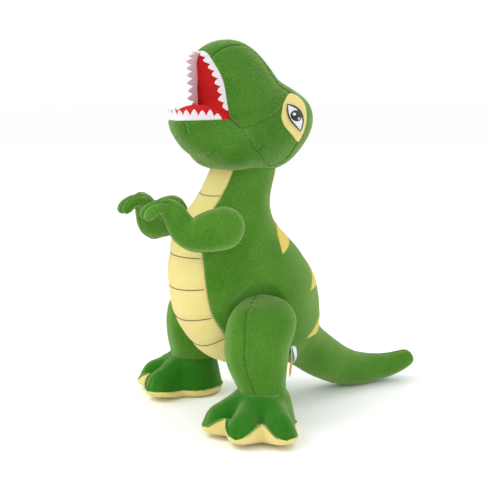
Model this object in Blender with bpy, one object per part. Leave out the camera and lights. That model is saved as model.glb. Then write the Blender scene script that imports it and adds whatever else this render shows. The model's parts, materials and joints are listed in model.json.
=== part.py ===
"""A plush dinosaur that stands on two soft feet and its tail, mouth wide open.

Frame: +Z up, the toy faces -Y, its left side is +X. Metres. The origin is under the middle of the
toy's box, on the surface it stands on. Fabric panels are thin shells, and each body part has its
own stuffing inside them. Soft joints are ball, plane or wedge faces with a small clearance.
"""
import math

import bpy
import numpy as np

# Materials of the build
FABRIC = 0.0015            # thickness of the short-pile fabric
FELT = 0.0012              # thickness of the felt that the teeth are cut from
FILL_GAP = 0.0010          # stuffing to the inside of its cover
SEAM_GAP = 0.0012          # edge of one panel to the edge of the next
JOINT_GAP = 0.0007         # face of a moving part to the part it moves on
PATCH_GAP = 0.0016         # appliqué to the cover below it
FILL_INSET = FABRIC + FILL_GAP

# Body
CROTCH_Z = 0.050           # underside of the body
NECK_Z = 0.257             # seam between neck and head
NECK_Y = 0.021             # neck axis, behind the body's middle
NECK_RADIUS = 0.0335
NECK_PIVOT_DROP = 0.040    # nodding pivot below the neck seam
BODY_HALF_WIDTH = 0.051
HIP_HALF_WIDTH = 0.043     # flat flank that the thigh lies on
BELLY_REACH = 0.062        # front of the belly, ahead of the neck's middle plane
RUMP_REACH = 0.112         # back of the rump, behind it
BELLY_PANEL_ANGLE = 38.0   # half of the belly panel, degrees round the body

# Head
MOUTH_Y = -0.014           # line through the mouth corners
MOUTH_RISE = 0.053         # mouth corners above the neck seam
MOUTH_Z = NECK_Z + MOUTH_RISE
MOUTH_HALF_WIDTH = 0.036
JAW_LENGTH = 0.047         # mouth corners to the front of the lower lip
SNOUT_LENGTH = 0.073       # mouth corners to the front of the upper lip
SKULL_LENGTH = 0.117       # mouth corners to the back of the head
MOUTH_OPENING = 79.0       # degrees between the two lips
JAW_SPLIT = 66.0           # degrees below the lower lip, where the jaw bends
JOINT_CORE = 0.008         # stuffing kept off the line through the mouth corners

# Limbs
THIGH_LENGTH = 0.0385      # half of the thigh, front to back
LEG_HALF_WIDTH = 0.024
LEG_TOP_Z = 0.132
ANKLE_X = 0.075            # middle of the ankle from the middle of the toy
ANKLE_Z = 0.038
ANKLE_RADIUS = 0.024
ANKLE_PIVOT_DROP = 0.014
LEG_CLEARANCE = 0.0008     # thigh to flank
TOE_REACH = 0.064          # ankle axis to the tip of a toe
TOE_HALF_WIDTH = 0.0175
TOE_SPREAD = 44.0          # degrees from one toe to the next
FOOT_SPLAY = 33.0          # degrees that the foot turns out
HEEL_RADIUS = 0.031
TOE_HEIGHT = 0.025
SOLE_EDGE_Z = 0.009
TAIL_TIP_RADIUS = 0.0024

HIP_Z = 0.100              # height of the hip's turning axis
TAIL_PIVOT_Z = 0.060

# Trim
TOOTH_HEIGHT = 0.0105
UPPER_TEETH = 18
LOWER_TEETH = 15

GREEN = ("green_plush", (0.085, 0.235, 0.032, 1.0), 0.9)
DEEP_GREEN = ("deep_green_plush", (0.055, 0.200, 0.025, 1.0), 0.9)
CREAM = ("cream_plush", (0.800, 0.660, 0.240, 1.0), 0.9)
RED = ("red_plush", (0.640, 0.025, 0.021, 1.0), 0.85)
WHITE_FELT = ("white_felt", (0.800, 0.780, 0.780, 1.0), 0.95)
BLACK_THREAD = ("eye_thread", (0.020, 0.020, 0.020, 1.0), 0.6)
FIBRE = ("polyester_fibre", (0.820, 0.820, 0.800, 1.0), 1.0)
LABEL_WHITE = ("label_satin", (0.850, 0.850, 0.850, 1.0), 0.5)
LABEL_GOLD = ("label_gold", (0.700, 0.380, 0.030, 1.0), 0.5)


# ---------- general geometry ----------

def clear_scene():
    for item in list(bpy.data.objects):
        bpy.data.objects.remove(item, do_unlink=True)


def finish_of(spec):
    name, colour, roughness = spec
    material = bpy.data.materials.get(name)
    if material is None:
        material = bpy.data.materials.new(name)
        material.use_nodes = True
        shader = material.node_tree.nodes["Principled BSDF"]
        shader.inputs["Base Color"].default_value = colour
        shader.inputs["Roughness"].default_value = roughness
        shader.inputs["Metallic"].default_value = 0.0
    return material


def smooth_curve(stations, values, t):
    """Cubic curve through values given at the stations, sampled at t."""
    stations = np.asarray(stations, float)
    values = np.asarray(values, float)
    single = values.ndim == 1
    if single:
        values = values[:, None]
    t = np.clip(np.asarray(t, float), stations[0], stations[-1])
    step = np.diff(stations)
    slope = np.diff(values, axis=0) / step[:, None]
    tangent = np.zeros_like(values)
    weight_a, weight_b = step[1:, None], step[:-1, None]
    tangent[1:-1] = (slope[:-1] * weight_a + slope[1:] * weight_b) / (weight_a + weight_b)
    tangent[0], tangent[-1] = slope[0], slope[-1]
    i = np.clip(np.searchsorted(stations, t, side="right") - 1, 0, len(step) - 1)
    u = ((t - stations[i]) / step[i])[..., None]
    h = step[i][..., None]
    result = ((2 * u**3 - 3 * u**2 + 1) * values[i] + (u**3 - 2 * u**2 + u) * h * tangent[i]
              + (3 * u**2 - 2 * u**3) * values[i + 1] + (u**3 - u**2) * h * tangent[i + 1])
    return result[..., 0] if single else result


def smooth_step(x):
    x = np.clip(x, 0.0, 1.0)
    return x * x * (3 - 2 * x)


def grid_faces(rows, columns, wrap):
    faces = []
    for i in range(rows - 1):
        for j in range(columns if wrap else columns - 1):
            k = (j + 1) % columns
            faces.append((i * columns + j, i * columns + k, (i + 1) * columns + k, (i + 1) * columns + j))
    return faces


def outward_normals(grid, wrap):
    """Unit normals of a ring grid, pointing away from the middle of each ring."""
    along = np.gradient(grid, axis=0)
    if wrap:
        around = np.roll(grid, -1, axis=1) - np.roll(grid, 1, axis=1)
    else:
        around = np.gradient(grid, axis=1)
    normal = np.cross(along, around)
    normal /= np.maximum(np.linalg.norm(normal, axis=2, keepdims=True), 1e-12)
    away = grid - grid.mean(axis=1, keepdims=True)
    if np.sum(normal * away) < 0:
        normal = -normal
    return normal


def new_object(name, points, faces, finish):
    mesh = bpy.data.meshes.new(name)
    mesh.from_pydata([tuple(p) for p in np.asarray(points).reshape(-1, 3)], [], faces)
    mesh.update()
    mesh.shade_smooth()
    mesh.materials.append(finish_of(finish))
    item = bpy.data.objects.new(name, mesh)
    bpy.context.scene.collection.objects.link(item)
    return item


def flip_if(faces, wrong):
    return [tuple(reversed(f)) for f in faces] if wrong else faces


def faces_point_inward(points, faces, normals):
    """Whether the grid's faces turn against the outward normals."""
    flat = points.reshape(-1, 3)
    total = 0.0
    flat_normals = normals.reshape(-1, 3)
    for f in faces[:: max(1, len(faces) // 60)]:
        cross = np.cross(flat[f[1]] - flat[f[0]], flat[f[2]] - flat[f[0]])
        total += float(cross @ flat_normals[f[0]])
    return total < 0


def thicken(item, thickness, offset):
    wall = item.modifiers.new("thickness", "SOLIDIFY")
    wall.thickness = thickness
    wall.offset = offset


def panel(name, grid, outward, finish, thickness=FABRIC, wrap=False, floor=False):
    """One cut panel: a patch of a surface, thickened towards the inside."""
    rows, columns = grid.shape[:2]
    faces = grid_faces(rows, columns, wrap)
    if floor:
        faces.append(tuple((rows - 1) * columns + j for j in range(columns)))
    faces = flip_if(faces, faces_point_inward(grid, faces, outward))
    item = new_object(name, grid, faces, finish)
    thicken(item, thickness, -1.0)
    return item


def drawn_back(grid, edges, distance=SEAM_GAP / 2):
    """A cut-out of a surface grid with its sewn edges drawn back from the seam."""
    grid = grid.copy()
    for edge in edges:
        turned = {"top": grid[::-1], "bottom": grid, "left": grid.swapaxes(0, 1),
                  "right": grid.swapaxes(0, 1)[::-1]}[edge]
        step = turned[1] - turned[0]
        turned[0] += step / np.linalg.norm(step, axis=-1, keepdims=True) * distance
    return grid


def ring_solid(name, rings, caps, finish):
    """Closed solid through wrapped rings; each end has a cap of inner rings and a middle point."""
    rows, columns = rings.shape[:2]
    blocks = [rings.reshape(-1, 3)]
    faces = grid_faces(rows, columns, True)
    count = rows * columns
    for end, cap in ((0, caps[0]), (rows - 1, caps[1])):
        edge = [end * columns + j for j in range(columns)]
        for ring in cap[:-1]:
            blocks.append(ring)
            inner = [count + j for j in range(columns)]
            for j in range(columns):
                k = (j + 1) % columns
                quad = (edge[j], edge[k], inner[k], inner[j])
                faces.append(quad if end else tuple(reversed(quad)))
            edge = inner
            count += columns
        blocks.append(cap[-1].reshape(1, 3))
        for j in range(columns):
            k = (j + 1) % columns
            tri = (edge[j], edge[k], count)
            faces.append(tri if end else tuple(reversed(tri)))
        count += 1
    points = np.concatenate(blocks)
    volume = 0.0
    for f in faces:
        for a, b in zip(f[1:-1], f[2:]):
            volume += float(np.dot(points[f[0]], np.cross(points[a], points[b])))
    return new_object(name, points, flip_if(faces, volume < 0), finish)


def cap_rings(ring, onto=None, steps=(0.66, 0.33)):
    """Rings shrinking from an end ring to its middle, laid on a joint face by onto()."""
    middle = ring.mean(axis=0)
    onto = onto or (lambda p: p)
    rings = [onto(middle + (ring - middle) * k) for k in steps]
    return rings + [onto(middle[None, :])[0]]


def on_ball(centre, radius):
    """Function that lays points on a ball."""
    def project(points):
        away = points - centre
        return centre + radius * away / np.linalg.norm(away, axis=-1, keepdims=True)
    return project


def cutter(name, kind, centre, radius, depth=0.0):
    if kind == "ball":
        bpy.ops.mesh.primitive_uv_sphere_add(segments=32, ring_count=16, radius=radius, location=centre)
    else:
        bpy.ops.mesh.primitive_cylinder_add(vertices=40, radius=radius, depth=depth, location=centre)
    item = bpy.context.object
    item.name = name
    item.hide_render = True
    item.display_type = "WIRE"
    return item


def cut(item, tool):
    step = item.modifiers.new("cut_" + tool.name, "BOOLEAN")
    step.operation = "DIFFERENCE"
    step.solver = "EXACT"
    step.object = tool


def unit(v):
    v = np.asarray(v, float)
    return v / np.linalg.norm(v)


def mirrored(grid, side):
    """The left-hand shape, or its mirror image for the right."""
    return grid * np.array([side, 1.0, 1.0])


# ---------- body ----------

# height share, front reach, back reach, half width (shares of the driving sizes)
BODY_PROFILE = (
    (0.000, -0.226, 0.278, 0.04),
    (0.011, 0.030, 0.560, 0.46),
    (0.052, 0.320, 0.780, 0.72),
    (0.133, 0.610, 0.920, 0.86),
    (0.241, 0.850, 1.000, 0.90),
    (0.350, 0.965, 0.985, 0.94),
    (0.464, 1.000, 0.905, 1.00),
    (0.578, 0.985, 0.745, 0.99),
    (0.687, 0.880, 0.575, 0.93),
    (0.777, 0.690, 0.490, 0.83),
    (0.865, 0.430, 0.470, 0.72),
)
FLANK_TOP_Z = LEG_TOP_Z + 0.004


def body_grid(u, phi):
    """Body surface: rings up the body (u), each a rounded oval (phi from the front, +X side first)."""
    height = NECK_Z - CROTCH_Z
    rows = [(CROTCH_Z + f * height, -a * BELLY_REACH, b * RUMP_REACH, w * BODY_HALF_WIDTH, 2.2)
            for f, a, b, w in BODY_PROFILE]
    rows = [(z, a, b, min(w, HIP_HALF_WIDTH) if z < FLANK_TOP_Z else w, p) for z, a, b, w, p in rows]
    below = [row for row in rows if row[0] < FLANK_TOP_Z]
    above = rows[len(below):]
    share = (FLANK_TOP_Z - below[-1][0]) / (above[0][0] - below[-1][0])
    flank = [a + (b - a) * share for a, b in zip(below[-1], above[0])]
    flank[3] = HIP_HALF_WIDTH
    rows = below + [tuple(flank)] + above
    rows.append((NECK_Z, NECK_Y - NECK_RADIUS, NECK_Y + NECK_RADIUS, NECK_RADIUS, 2.0))
    rows = np.array(rows)
    z, front, back, half, power = smooth_curve(np.linspace(0, 1, len(rows)), rows, u).T
    turn = np.cos(phi)[None, :]
    side = np.sin(phi)[None, :]
    power = power[:, None]
    x = half[:, None] * np.sign(side) * np.abs(side) ** (2 / power)
    middle = ((front + back) / 2)[:, None]
    y = middle - ((back - front) / 2)[:, None] * np.sign(turn) * np.abs(turn) ** (2 / power)
    return np.stack([x, y, np.broadcast_to(z[:, None], x.shape)], axis=-1)


BODY_ROWS = np.linspace(0, 1, len(BODY_PROFILE) + 2)
BELLY_COLUMNS = 4
SIDE_COLUMNS = 7
NECK_PIVOT = np.array([0.0, NECK_Y, NECK_Z - NECK_PIVOT_DROP])
NECK_BALL = math.hypot(NECK_RADIUS, NECK_PIVOT_DROP)


def body_angles():
    """Angles of the ring's points, from the belly panel's right seam round to that seam again."""
    belly = np.linspace(-BELLY_PANEL_ANGLE, BELLY_PANEL_ANGLE, BELLY_COLUMNS + 1)
    left = np.linspace(BELLY_PANEL_ANGLE, 180, SIDE_COLUMNS + 1)
    right = np.linspace(180, 360 - BELLY_PANEL_ANGLE, SIDE_COLUMNS + 1)
    return np.radians(np.concatenate([belly, left[1:], right[1:]]))


def build_body():
    full = body_grid(BODY_ROWS, body_angles())
    rings = full[:, :-1]
    inner = rings - FILL_INSET * outward_normals(rings, True)
    neck_middle = np.array([0.0, NECK_Y, NECK_Z])
    inner[-1] = rings[-1] + (neck_middle - rings[-1]) * (FILL_INSET / NECK_RADIUS)
    neck_face = on_ball(NECK_PIVOT, np.linalg.norm(inner[-1, 0] - NECK_PIVOT))
    caps = (cap_rings(inner[0], steps=()), cap_rings(inner[-1], neck_face))
    ring_solid("body_stuffing", inner, caps, FIBRE)
    back = BELLY_COLUMNS + SIDE_COLUMNS
    pieces = (("belly_panel", 0, BELLY_COLUMNS, CREAM), ("body_side_left", BELLY_COLUMNS, back, GREEN),
              ("body_side_right", back, back + SIDE_COLUMNS, GREEN))
    for name, first, last, finish in pieces:
        grid = drawn_back(full[:, first:last + 1], ("left", "right"))
        panel(name, grid, outward_body(grid), finish)


def outward_body(grid):
    away = grid - np.array([0.0, 0.022, 0.14])
    return away / np.linalg.norm(away, axis=-1, keepdims=True)


# ---------- head: sections turned about the line through the mouth corners ----------

# degrees from the lower lip, reach from the mouth line, swell past the mouth's half width, squareness
HEAD_PROFILE = (
    (0, JAW_LENGTH, -0.002, 2.2),
    (14, JAW_LENGTH, -0.001, 2.2),
    (30, 0.0455, 0.001, 2.2),
    (50, 0.0435, 0.005, 2.3),
    (70, 0.0445, 0.012, 2.6),
    (85, 0.0500, 0.018, 2.9),
    (100, 0.0540, 0.022, 3.1),
    (120, 0.0610, 0.023, 3.0),
    (140, 0.0840, 0.022, 2.6),
    (155, 0.1010, 0.020, 2.3),
    (168, SKULL_LENGTH - 0.005, 0.018, 2.2),
    (180, SKULL_LENGTH, 0.016, 2.2),
    (188, SKULL_LENGTH - 0.005, 0.014, 2.2),
    (196, 0.0970, 0.012, 2.2),
    (205, 0.0840, 0.010, 2.2),
    (220, 0.0810, 0.006, 2.2),
    (235, 0.0815, 0.003, 2.2),
    (250, 0.0820, 0.000, 2.2),
    (262, SNOUT_LENGTH + 0.0075, -0.002, 2.2),
    (272, SNOUT_LENGTH + 0.004, -0.003, 2.2),
    (281, SNOUT_LENGTH, -0.004, 2.2),
)
UPPER_LIP = 360.0 - MOUTH_OPENING
MOUTH_LINE = np.array([0.0, MOUTH_Y, MOUTH_Z])


def head_profile(theta):
    degrees = [row[0] for row in HEAD_PROFILE]
    return smooth_curve(degrees, [row[1:] for row in HEAD_PROFILE], theta).T


def head_section(theta, around, inset=0.0):
    """Half width and reach of the section at theta (degrees); around runs 0..pi, left to right."""
    reach, swell, power = head_profile(theta)
    power = power[..., None]
    rise = np.abs(np.sin(around)) ** (2 / power)
    across = np.sign(np.cos(around)) * np.abs(np.cos(around)) ** (2 / power)
    half = MOUTH_HALF_WIDTH - inset + swell[..., None] * np.minimum(1.0, 2 * rise)
    return half * across, (reach[..., None] - inset) * rise


def head_grid(theta, around, inset=0.0, core=0.0):
    theta = np.asarray(theta, float)
    x, r = head_section(theta, around, inset)
    r = np.maximum(r, core)
    angle = np.radians(theta)[:, None]
    return np.stack([x, MOUTH_Y - np.cos(angle) * r, MOUTH_Z - np.sin(angle) * r], axis=-1)


def plane_normal(theta):
    """Direction in which theta grows, across the plane at theta."""
    angle = math.radians(theta)
    return np.array([0.0, math.sin(angle), -math.cos(angle)])


def plane_outward(theta):
    angle = math.radians(theta)
    return np.array([0.0, -math.cos(angle), -math.sin(angle)])


LIP_RECESS = 0.0026        # lining below the edge of the lip
TEETH_INSET = FABRIC + 0.0007
LINING_INSET = TEETH_INSET + FELT + 0.0006
LIP_COLUMNS = 12
SIDE_SPAN = 4              # columns from the mouth line to the centre strip
STRIP_SPAN = 4             # columns across the centre strip


def head_outward(grid):
    away = grid - MOUTH_LINE * [0, 1, 1] - grid * [0.2, 0, 0]
    return away / np.linalg.norm(away, axis=-1, keepdims=True)


def gusset_width(theta):
    """Half of the centre strip over the head, radians round the section."""
    return np.radians(smooth_curve((0, 120, 160, 200, 240, UPPER_LIP), (20, 20, 27, 26, 24, 30), theta))


def head_columns(theta, pole=0.0):
    """Angles round each section: the left side, the centre strip, the right side."""
    strip = gusset_width(theta)[:, None]
    side = np.linspace(0, 1, SIDE_SPAN + 1)[None, :]
    left = pole + (math.pi / 2 - strip - pole) * side
    middle = math.pi / 2 + strip * np.linspace(-1, 1, STRIP_SPAN + 1)[None, 1:-1]
    return np.concatenate([left, middle, math.pi - left[:, ::-1]], axis=1)


def head_surface(theta):
    theta = np.asarray(theta, float)
    return head_grid(theta, head_columns(theta, CORNER_ANGLE))


def rows_between(start, end, count):
    return np.linspace(start, end, count + 1)


HEAD_FILL_INSET = FILL_INSET + 0.0016   # deeper than in the body, under the flat facets of the covers
CORNER_ANGLE = math.radians(4)   # small opening left where all the panels meet at the mouth corner
JAW_ROWS = 5
THROAT_ROWS = 5
CHEEK_ROWS = 8
SNOUT_ROWS = 7


def head_panel(name, theta, first, last, edges, finish):
    """Cover panel cut from the head's surface between two columns."""
    grid = drawn_back(head_surface(theta)[:, first:last + 1], edges)
    return panel(name, grid, head_outward(grid), finish)


def lip_disc(theta, side, inset, base, bulge, steps):
    """Rings from the lip's outline to its middle; base lifts them off its plane, bulge lifts the middle."""
    reach, _, power = head_profile(np.array([theta]))
    corner = math.asin(((JOINT_CORE + 0.001) / (reach[0] - inset)) ** (power[0] / 2))
    x, r = head_section(np.array([theta]), np.linspace(corner, math.pi - corner, LIP_COLUMNS + 1), inset)
    middle = reach[0] * 0.45
    steps = np.asarray(steps)[:, None]
    rise = base + bulge * (1 - steps ** 2.2)
    out = plane_outward(theta)
    up = side * plane_normal(theta)
    flat = (steps * x)[..., None] * np.array([1.0, 0, 0]) + (middle + (r - middle) * steps)[..., None] * out
    return flat + rise[..., None] * up + MOUTH_LINE, up


def mouth_pad(name, theta, side, bulge, finish):
    """Lining over a lip's plane, flat or raised in its middle."""
    grid, up = lip_disc(theta, side, LINING_INSET, FABRIC - LIP_RECESS, bulge, (1.0, 0.75, 0.42, 0.1))
    panel(name, grid, np.broadcast_to(up, grid.shape), finish, wrap=True, floor=True)


TEETH_START = JOINT_CORE + 0.0035    # first point of the strip, distance from the mouth line
TEETH_FOOT = LIP_RECESS - 0.0004     # depth of the strip's sewn edge below the lip


def teeth(name, theta, side, count):
    """Felt strip along a lip, its free edge cut into rounded points."""
    x, r = head_section(np.array([theta]), np.linspace(0.02, math.pi - 0.02, 400), TEETH_INSET)
    x, r = x[0], r[0]
    length = np.concatenate([[0], np.cumsum(np.hypot(np.diff(x), np.diff(r)))])
    first = length[np.searchsorted(r[:200], TEETH_START)]
    per_tooth = 4
    s = np.linspace(first, length[-1] - first, count * per_tooth + 1)
    x, r = np.interp(s, length, x), np.interp(s, length, r)
    point = np.sin(math.pi * (np.arange(len(s)) % per_tooth) / per_tooth) ** 0.8
    up = side * plane_normal(theta)
    foot = x[:, None] * [1.0, 0, 0] + r[:, None] * plane_outward(theta) + MOUTH_LINE - up * TEETH_FOOT
    height = LIP_RECESS + (TOOTH_HEIGHT - LIP_RECESS) * (0.35 + 0.65 * point)
    grid = np.stack([foot, foot + height[:, None] * up])
    panel(name, grid, grid - grid.mean(axis=(0, 1)), WHITE_FELT, FELT)


def sector_solid(name, theta, ends, discs, finish):
    """Stuffing between two planes through the mouth line; a disc spec (base, bulge) shapes an end face."""
    theta = np.asarray(theta, float)
    rings = head_grid(theta, head_columns(theta), HEAD_FILL_INSET, JOINT_CORE)
    rings[0] = rings[0] + plane_normal(theta[0]) * ends[0]
    rings[-1] = rings[-1] - plane_normal(theta[-1]) * ends[1]
    caps = []
    for ring, angle, side, bulge in ((rings[0], theta[0], -1, discs[0]), (rings[-1], theta[-1], 1, discs[1])):
        middle = ring.mean(axis=0)
        up = side * plane_normal(angle)
        cap = [middle + (ring - middle) * k + up * bulge * (1 - k ** 2.2) for k in (0.75, 0.42)]
        caps.append(cap + [middle + up * bulge])
    return ring_solid(name, rings, caps, finish)


def surface_patch(name, centre, outline, place, finish, lift, thickness, rings=(1.0, 0.75, 0.5, 0.25)):
    """Appliqué: outline points (two surface parameters) filled by rings and laid on a surface."""
    outline = np.asarray(outline, float)
    centre = np.asarray(centre, float)
    flat = np.stack([centre + (outline - centre) * k for k in rings + (0.06,)])
    grid, normal = place(flat)
    grid = grid + normal * (lift + thickness)
    panel(name, grid, normal, finish, thickness, wrap=True, floor=True)


def laid_on(grid, outward):
    """Function that places fractional (row, column) pairs on a faceted surface grid."""
    rows, columns = grid.shape[:2]

    def place(flat):
        i = np.clip(np.floor(flat[..., 0]).astype(int), 0, rows - 2)
        j = np.clip(np.floor(flat[..., 1]).astype(int), 0, columns - 2)
        a, b = (flat[..., 0] - i)[..., None], (flat[..., 1] - j)[..., None]
        corners = grid[i, j], grid[i + 1, j], grid[i, j + 1], grid[i + 1, j + 1]
        normals = outward[i, j] * (1 - a) * (1 - b) + outward[i + 1, j] * a * (1 - b)
        normals = normals + outward[i, j + 1] * (1 - a) * b + outward[i + 1, j + 1] * a * b
        normals = normals / np.linalg.norm(normals, axis=-1, keepdims=True)
        # a twisted facet folds along one of its diagonals: the outer fold is used, so nothing dips into it
        twist = corners[0] - corners[1] - corners[2] + corners[3]
        outer = np.sum(twist * normals, axis=-1, keepdims=True) > 0
        fold = np.where(outer, np.minimum(a, b), np.maximum(a + b - 1, 0))
        points = corners[0] + a * (corners[1] - corners[0]) + b * (corners[2] - corners[0]) + fold * twist
        return points, normals
    return place


EYE_PATCH_CENTRE = (182.0, 42.0)   # degrees from the lower lip, degrees round the section
EYE_PATCH_SIZE = (17.0, 14.0)
EYE_SIZE = (10.5, 7.5)
EYE_TILT = 8.0
EYE_COLUMN_SPAN = 15.6             # degrees round the section from one column to the next
THREAD_GAP = 0.0006                # embroidery to the patch below it


def almond(centre, size, tilt, count=18, sharp=0.75):
    """Almond outline in two surface angles: long half axis, short half axis, tilt in degrees."""
    t = np.linspace(0, 2 * math.pi, count, endpoint=False)
    long = np.cos(t) * size[0]
    short = np.sin(t) * np.abs(np.sin(t)) ** sharp * size[1]
    a = math.radians(tilt)
    return np.stack([centre[0] + long * math.cos(a) - short * math.sin(a),
                     centre[1] + long * math.sin(a) + short * math.cos(a)], axis=-1)


EYE_THREAD = 0.0006        # thickness of the embroidered eye
TONGUE_HEIGHT = 0.015
CHEEK_SEAM = 124.0         # degrees from the lower lip to the seam below the cheek
SNOUT_SEAM = 200.0         # and to the seam between cheek and snout


def build_jaw():
    theta = rows_between(0, JAW_SPLIT, JAW_ROWS)
    sector_solid("jaw_stuffing", theta, (LIP_RECESS + 2 * FABRIC, JOINT_GAP / 2),
                 (TONGUE_HEIGHT - 2 * FABRIC, 0.0), FIBRE)
    half = SIDE_SPAN + STRIP_SPAN // 2
    head_panel("jaw_cover_left", theta, 0, half, ("top", "right"), GREEN)
    head_panel("jaw_cover_right", theta, half, 2 * half, ("top", "left"), GREEN)
    mouth_pad("tongue_lining", 0.0, -1, TONGUE_HEIGHT, RED)
    teeth("lower_teeth", 0.0, -1, LOWER_TEETH)


def build_head():
    ball = cutter("neck_ball", "ball", NECK_PIVOT, NECK_BALL + JOINT_GAP)
    bore = cutter("neck_bore", "bore", (0, NECK_Y, NECK_Z - 0.005), NECK_RADIUS + SEAM_GAP, 0.050)
    throat = rows_between(JAW_SPLIT, CHEEK_SEAM, THROAT_ROWS)
    cheek = rows_between(CHEEK_SEAM, SNOUT_SEAM, CHEEK_ROWS)
    snout = rows_between(SNOUT_SEAM, UPPER_LIP, SNOUT_ROWS)
    theta = np.concatenate([throat, cheek[1:], snout[1:]])
    ends = (JOINT_GAP / 2, LIP_RECESS + 2 * FABRIC)
    stuffing = sector_solid("head_stuffing", theta, ends, (0.0, 0.0), FIBRE)
    left, right, last = SIDE_SPAN, SIDE_SPAN + STRIP_SPAN, 2 * SIDE_SPAN + STRIP_SPAN
    cut_by_neck = [stuffing,
                   head_panel("throat_cover", throat, 0, last, ("bottom", "top"), GREEN),
                   head_panel("head_top_gusset", theta[THROAT_ROWS:], left, right,
                              ("bottom", "left", "right"), GREEN),
                   head_panel("cheek_left", cheek, 0, left, ("bottom", "top", "right"), GREEN),
                   head_panel("cheek_right", cheek, right, last, ("bottom", "top", "left"), GREEN)]
    head_panel("snout_side_left", snout, 0, left, ("bottom", "right"), GREEN)
    head_panel("snout_side_right", snout, right, last, ("bottom", "left"), GREEN)
    for item in cut_by_neck:
        cut(item, ball)
        if item is not stuffing:
            cut(item, bore)
    mouth_pad("palate_lining", UPPER_LIP, 1, 0.0, RED)
    teeth("upper_teeth", UPPER_LIP, 1, UPPER_TEETH)

    grid = head_surface(theta)
    normals = outward_normals(grid, False)
    if np.sum(normals * head_outward(grid)) < 0:
        normals = -normals
    place = laid_on(grid, normals)
    for mirror, name in ((False, "left"), (True, "right")):
        for label, size, finish, lift, thick in (("eye_patch_", EYE_PATCH_SIZE, CREAM, PATCH_GAP, FABRIC),
                                                 ("eye_embroidery_", EYE_SIZE, BLACK_THREAD,
                                                  PATCH_GAP + FABRIC + THREAD_GAP, EYE_THREAD)):
            degrees = almond(EYE_PATCH_CENTRE, size, EYE_TILT)
            row = np.interp(degrees[:, 0], theta, np.arange(len(theta)))
            column = degrees[:, 1] / EYE_COLUMN_SPAN
            middle = (np.interp(EYE_PATCH_CENTRE[0], theta, np.arange(len(theta))),
                      EYE_PATCH_CENTRE[1] / EYE_COLUMN_SPAN)
            if mirror:
                column, middle = last - column, (middle[0], last - middle[1])
            surface_patch(label + name, middle, np.stack([row, column], axis=-1), place, finish, lift, thick)


# ---------- tail ----------

# route and radius, from inside the body to the tip
TAIL_ROUTE = (
    (0.000, 0.084, 0.072, 0.0270),
    (0.000, 0.104, 0.058, 0.0262),
    (0.000, 0.124, 0.043, 0.0248),
    (0.000, 0.144, 0.030, 0.0224),
    (0.002, 0.166, 0.0215, 0.0200),
    (0.005, 0.189, 0.0165, 0.0163),
    (0.009, 0.210, 0.0160, 0.0135),
    (0.013, 0.228, 0.0200, 0.0110),
    (0.016, 0.241, 0.0250, 0.0085),
    (0.0175, 0.2475, 0.0280, TAIL_TIP_RADIUS),
)
TAIL_PIVOT_Y = 0.062       # wagging axis, inside the rump
TAIL_ROWS = 11
TAIL_COLUMNS = 14
TAIL_GAP = 0.0020          # tail to the rump, measured along the radius of wagging
TAIL_FLOOR_GAP = 0.0004    # rounding left under the tail where it rests


def rump_reach(z):
    """Radius about the wagging axis that the rump stays inside, at height z."""
    rump = body_grid(np.linspace(0, 0.6, 80), np.radians(np.linspace(90, 180, 40)))
    away = np.hypot(rump[..., 0], rump[..., 1] - TAIL_PIVOT_Y)
    behind = rump[..., 1] - TAIL_PIVOT_Y > rump[..., 0] * math.tan(math.radians(25))
    reach = np.max(np.where(behind, away, 0.0), axis=1)
    return np.interp(z, rump[:, -1, 2], reach)


def tube_grid(route, s, phi, lateral, squash=1.0):
    """Rings along a route of (x, y, z, radius); lateral is the width's way, squash height over width."""
    route = np.asarray(route, float)
    t = np.linspace(0, 1, len(route))
    data = smooth_curve(t, route, s)
    step = 1e-3
    ahead = smooth_curve(t, route, np.clip(s + step, 0, 1))
    behind = smooth_curve(t, route, np.clip(s - step, 0, 1))
    tangent = (ahead - behind)[:, :3]
    tangent /= np.linalg.norm(tangent, axis=1)[:, None]
    side = lateral - (tangent @ lateral)[:, None] * tangent
    side /= np.linalg.norm(side, axis=1)[:, None]
    top = np.cross(tangent, side)
    r = data[:, 3][:, None, None]
    c, n = np.cos(phi)[None, :, None], np.sin(phi)[None, :, None]
    return data[:, None, :3] + r * (c * side[:, None] + squash * n * top[:, None])


def tail_rings(phi, rows, inset=0.0):
    """Tail rings whose first ring lies on the joint face round the rump."""
    s_fine = np.linspace(0, 1, 241)
    fine = tube_grid(TAIL_ROUTE, s_fine, phi, np.array([1.0, 0, 0]))
    fine[..., 2] = np.maximum(fine[..., 2], TAIL_FLOOR_GAP)
    ring = fine[:, :-1] if np.allclose(fine[:, 0], fine[:, -1]) else fine
    normals = outward_normals(ring, True)
    fine = fine - inset * (normals if ring is fine else np.concatenate([normals, normals[:, :1]], axis=1))
    clear = np.hypot(fine[..., 0], fine[..., 1] - TAIL_PIVOT_Y) - rump_reach(fine[..., 2]) - TAIL_GAP
    first = np.argmax(clear > 0, axis=0)
    last = len(s_fine) - 1 - (int(0.012 * len(s_fine)) if inset else 0)
    share = np.linspace(0, 1, rows) ** 0.9
    rings = np.empty((rows, len(phi), 3))
    for j in range(len(phi)):
        k = first[j] + share * (last - first[j])
        for axis in range(3):
            rings[:, j, axis] = np.interp(k, np.arange(len(s_fine)), fine[:, j, axis])
    return rings


def on_rump(points):
    """Lay points on the joint face round the rump."""
    away = points[..., :2] - np.array([0.0, TAIL_PIVOT_Y])
    reach = rump_reach(points[..., 2]) + TAIL_GAP
    away = away / np.linalg.norm(away, axis=-1, keepdims=True) * reach[..., None]
    return np.concatenate([away + np.array([0.0, TAIL_PIVOT_Y]), points[..., 2:]], axis=-1)


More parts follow.
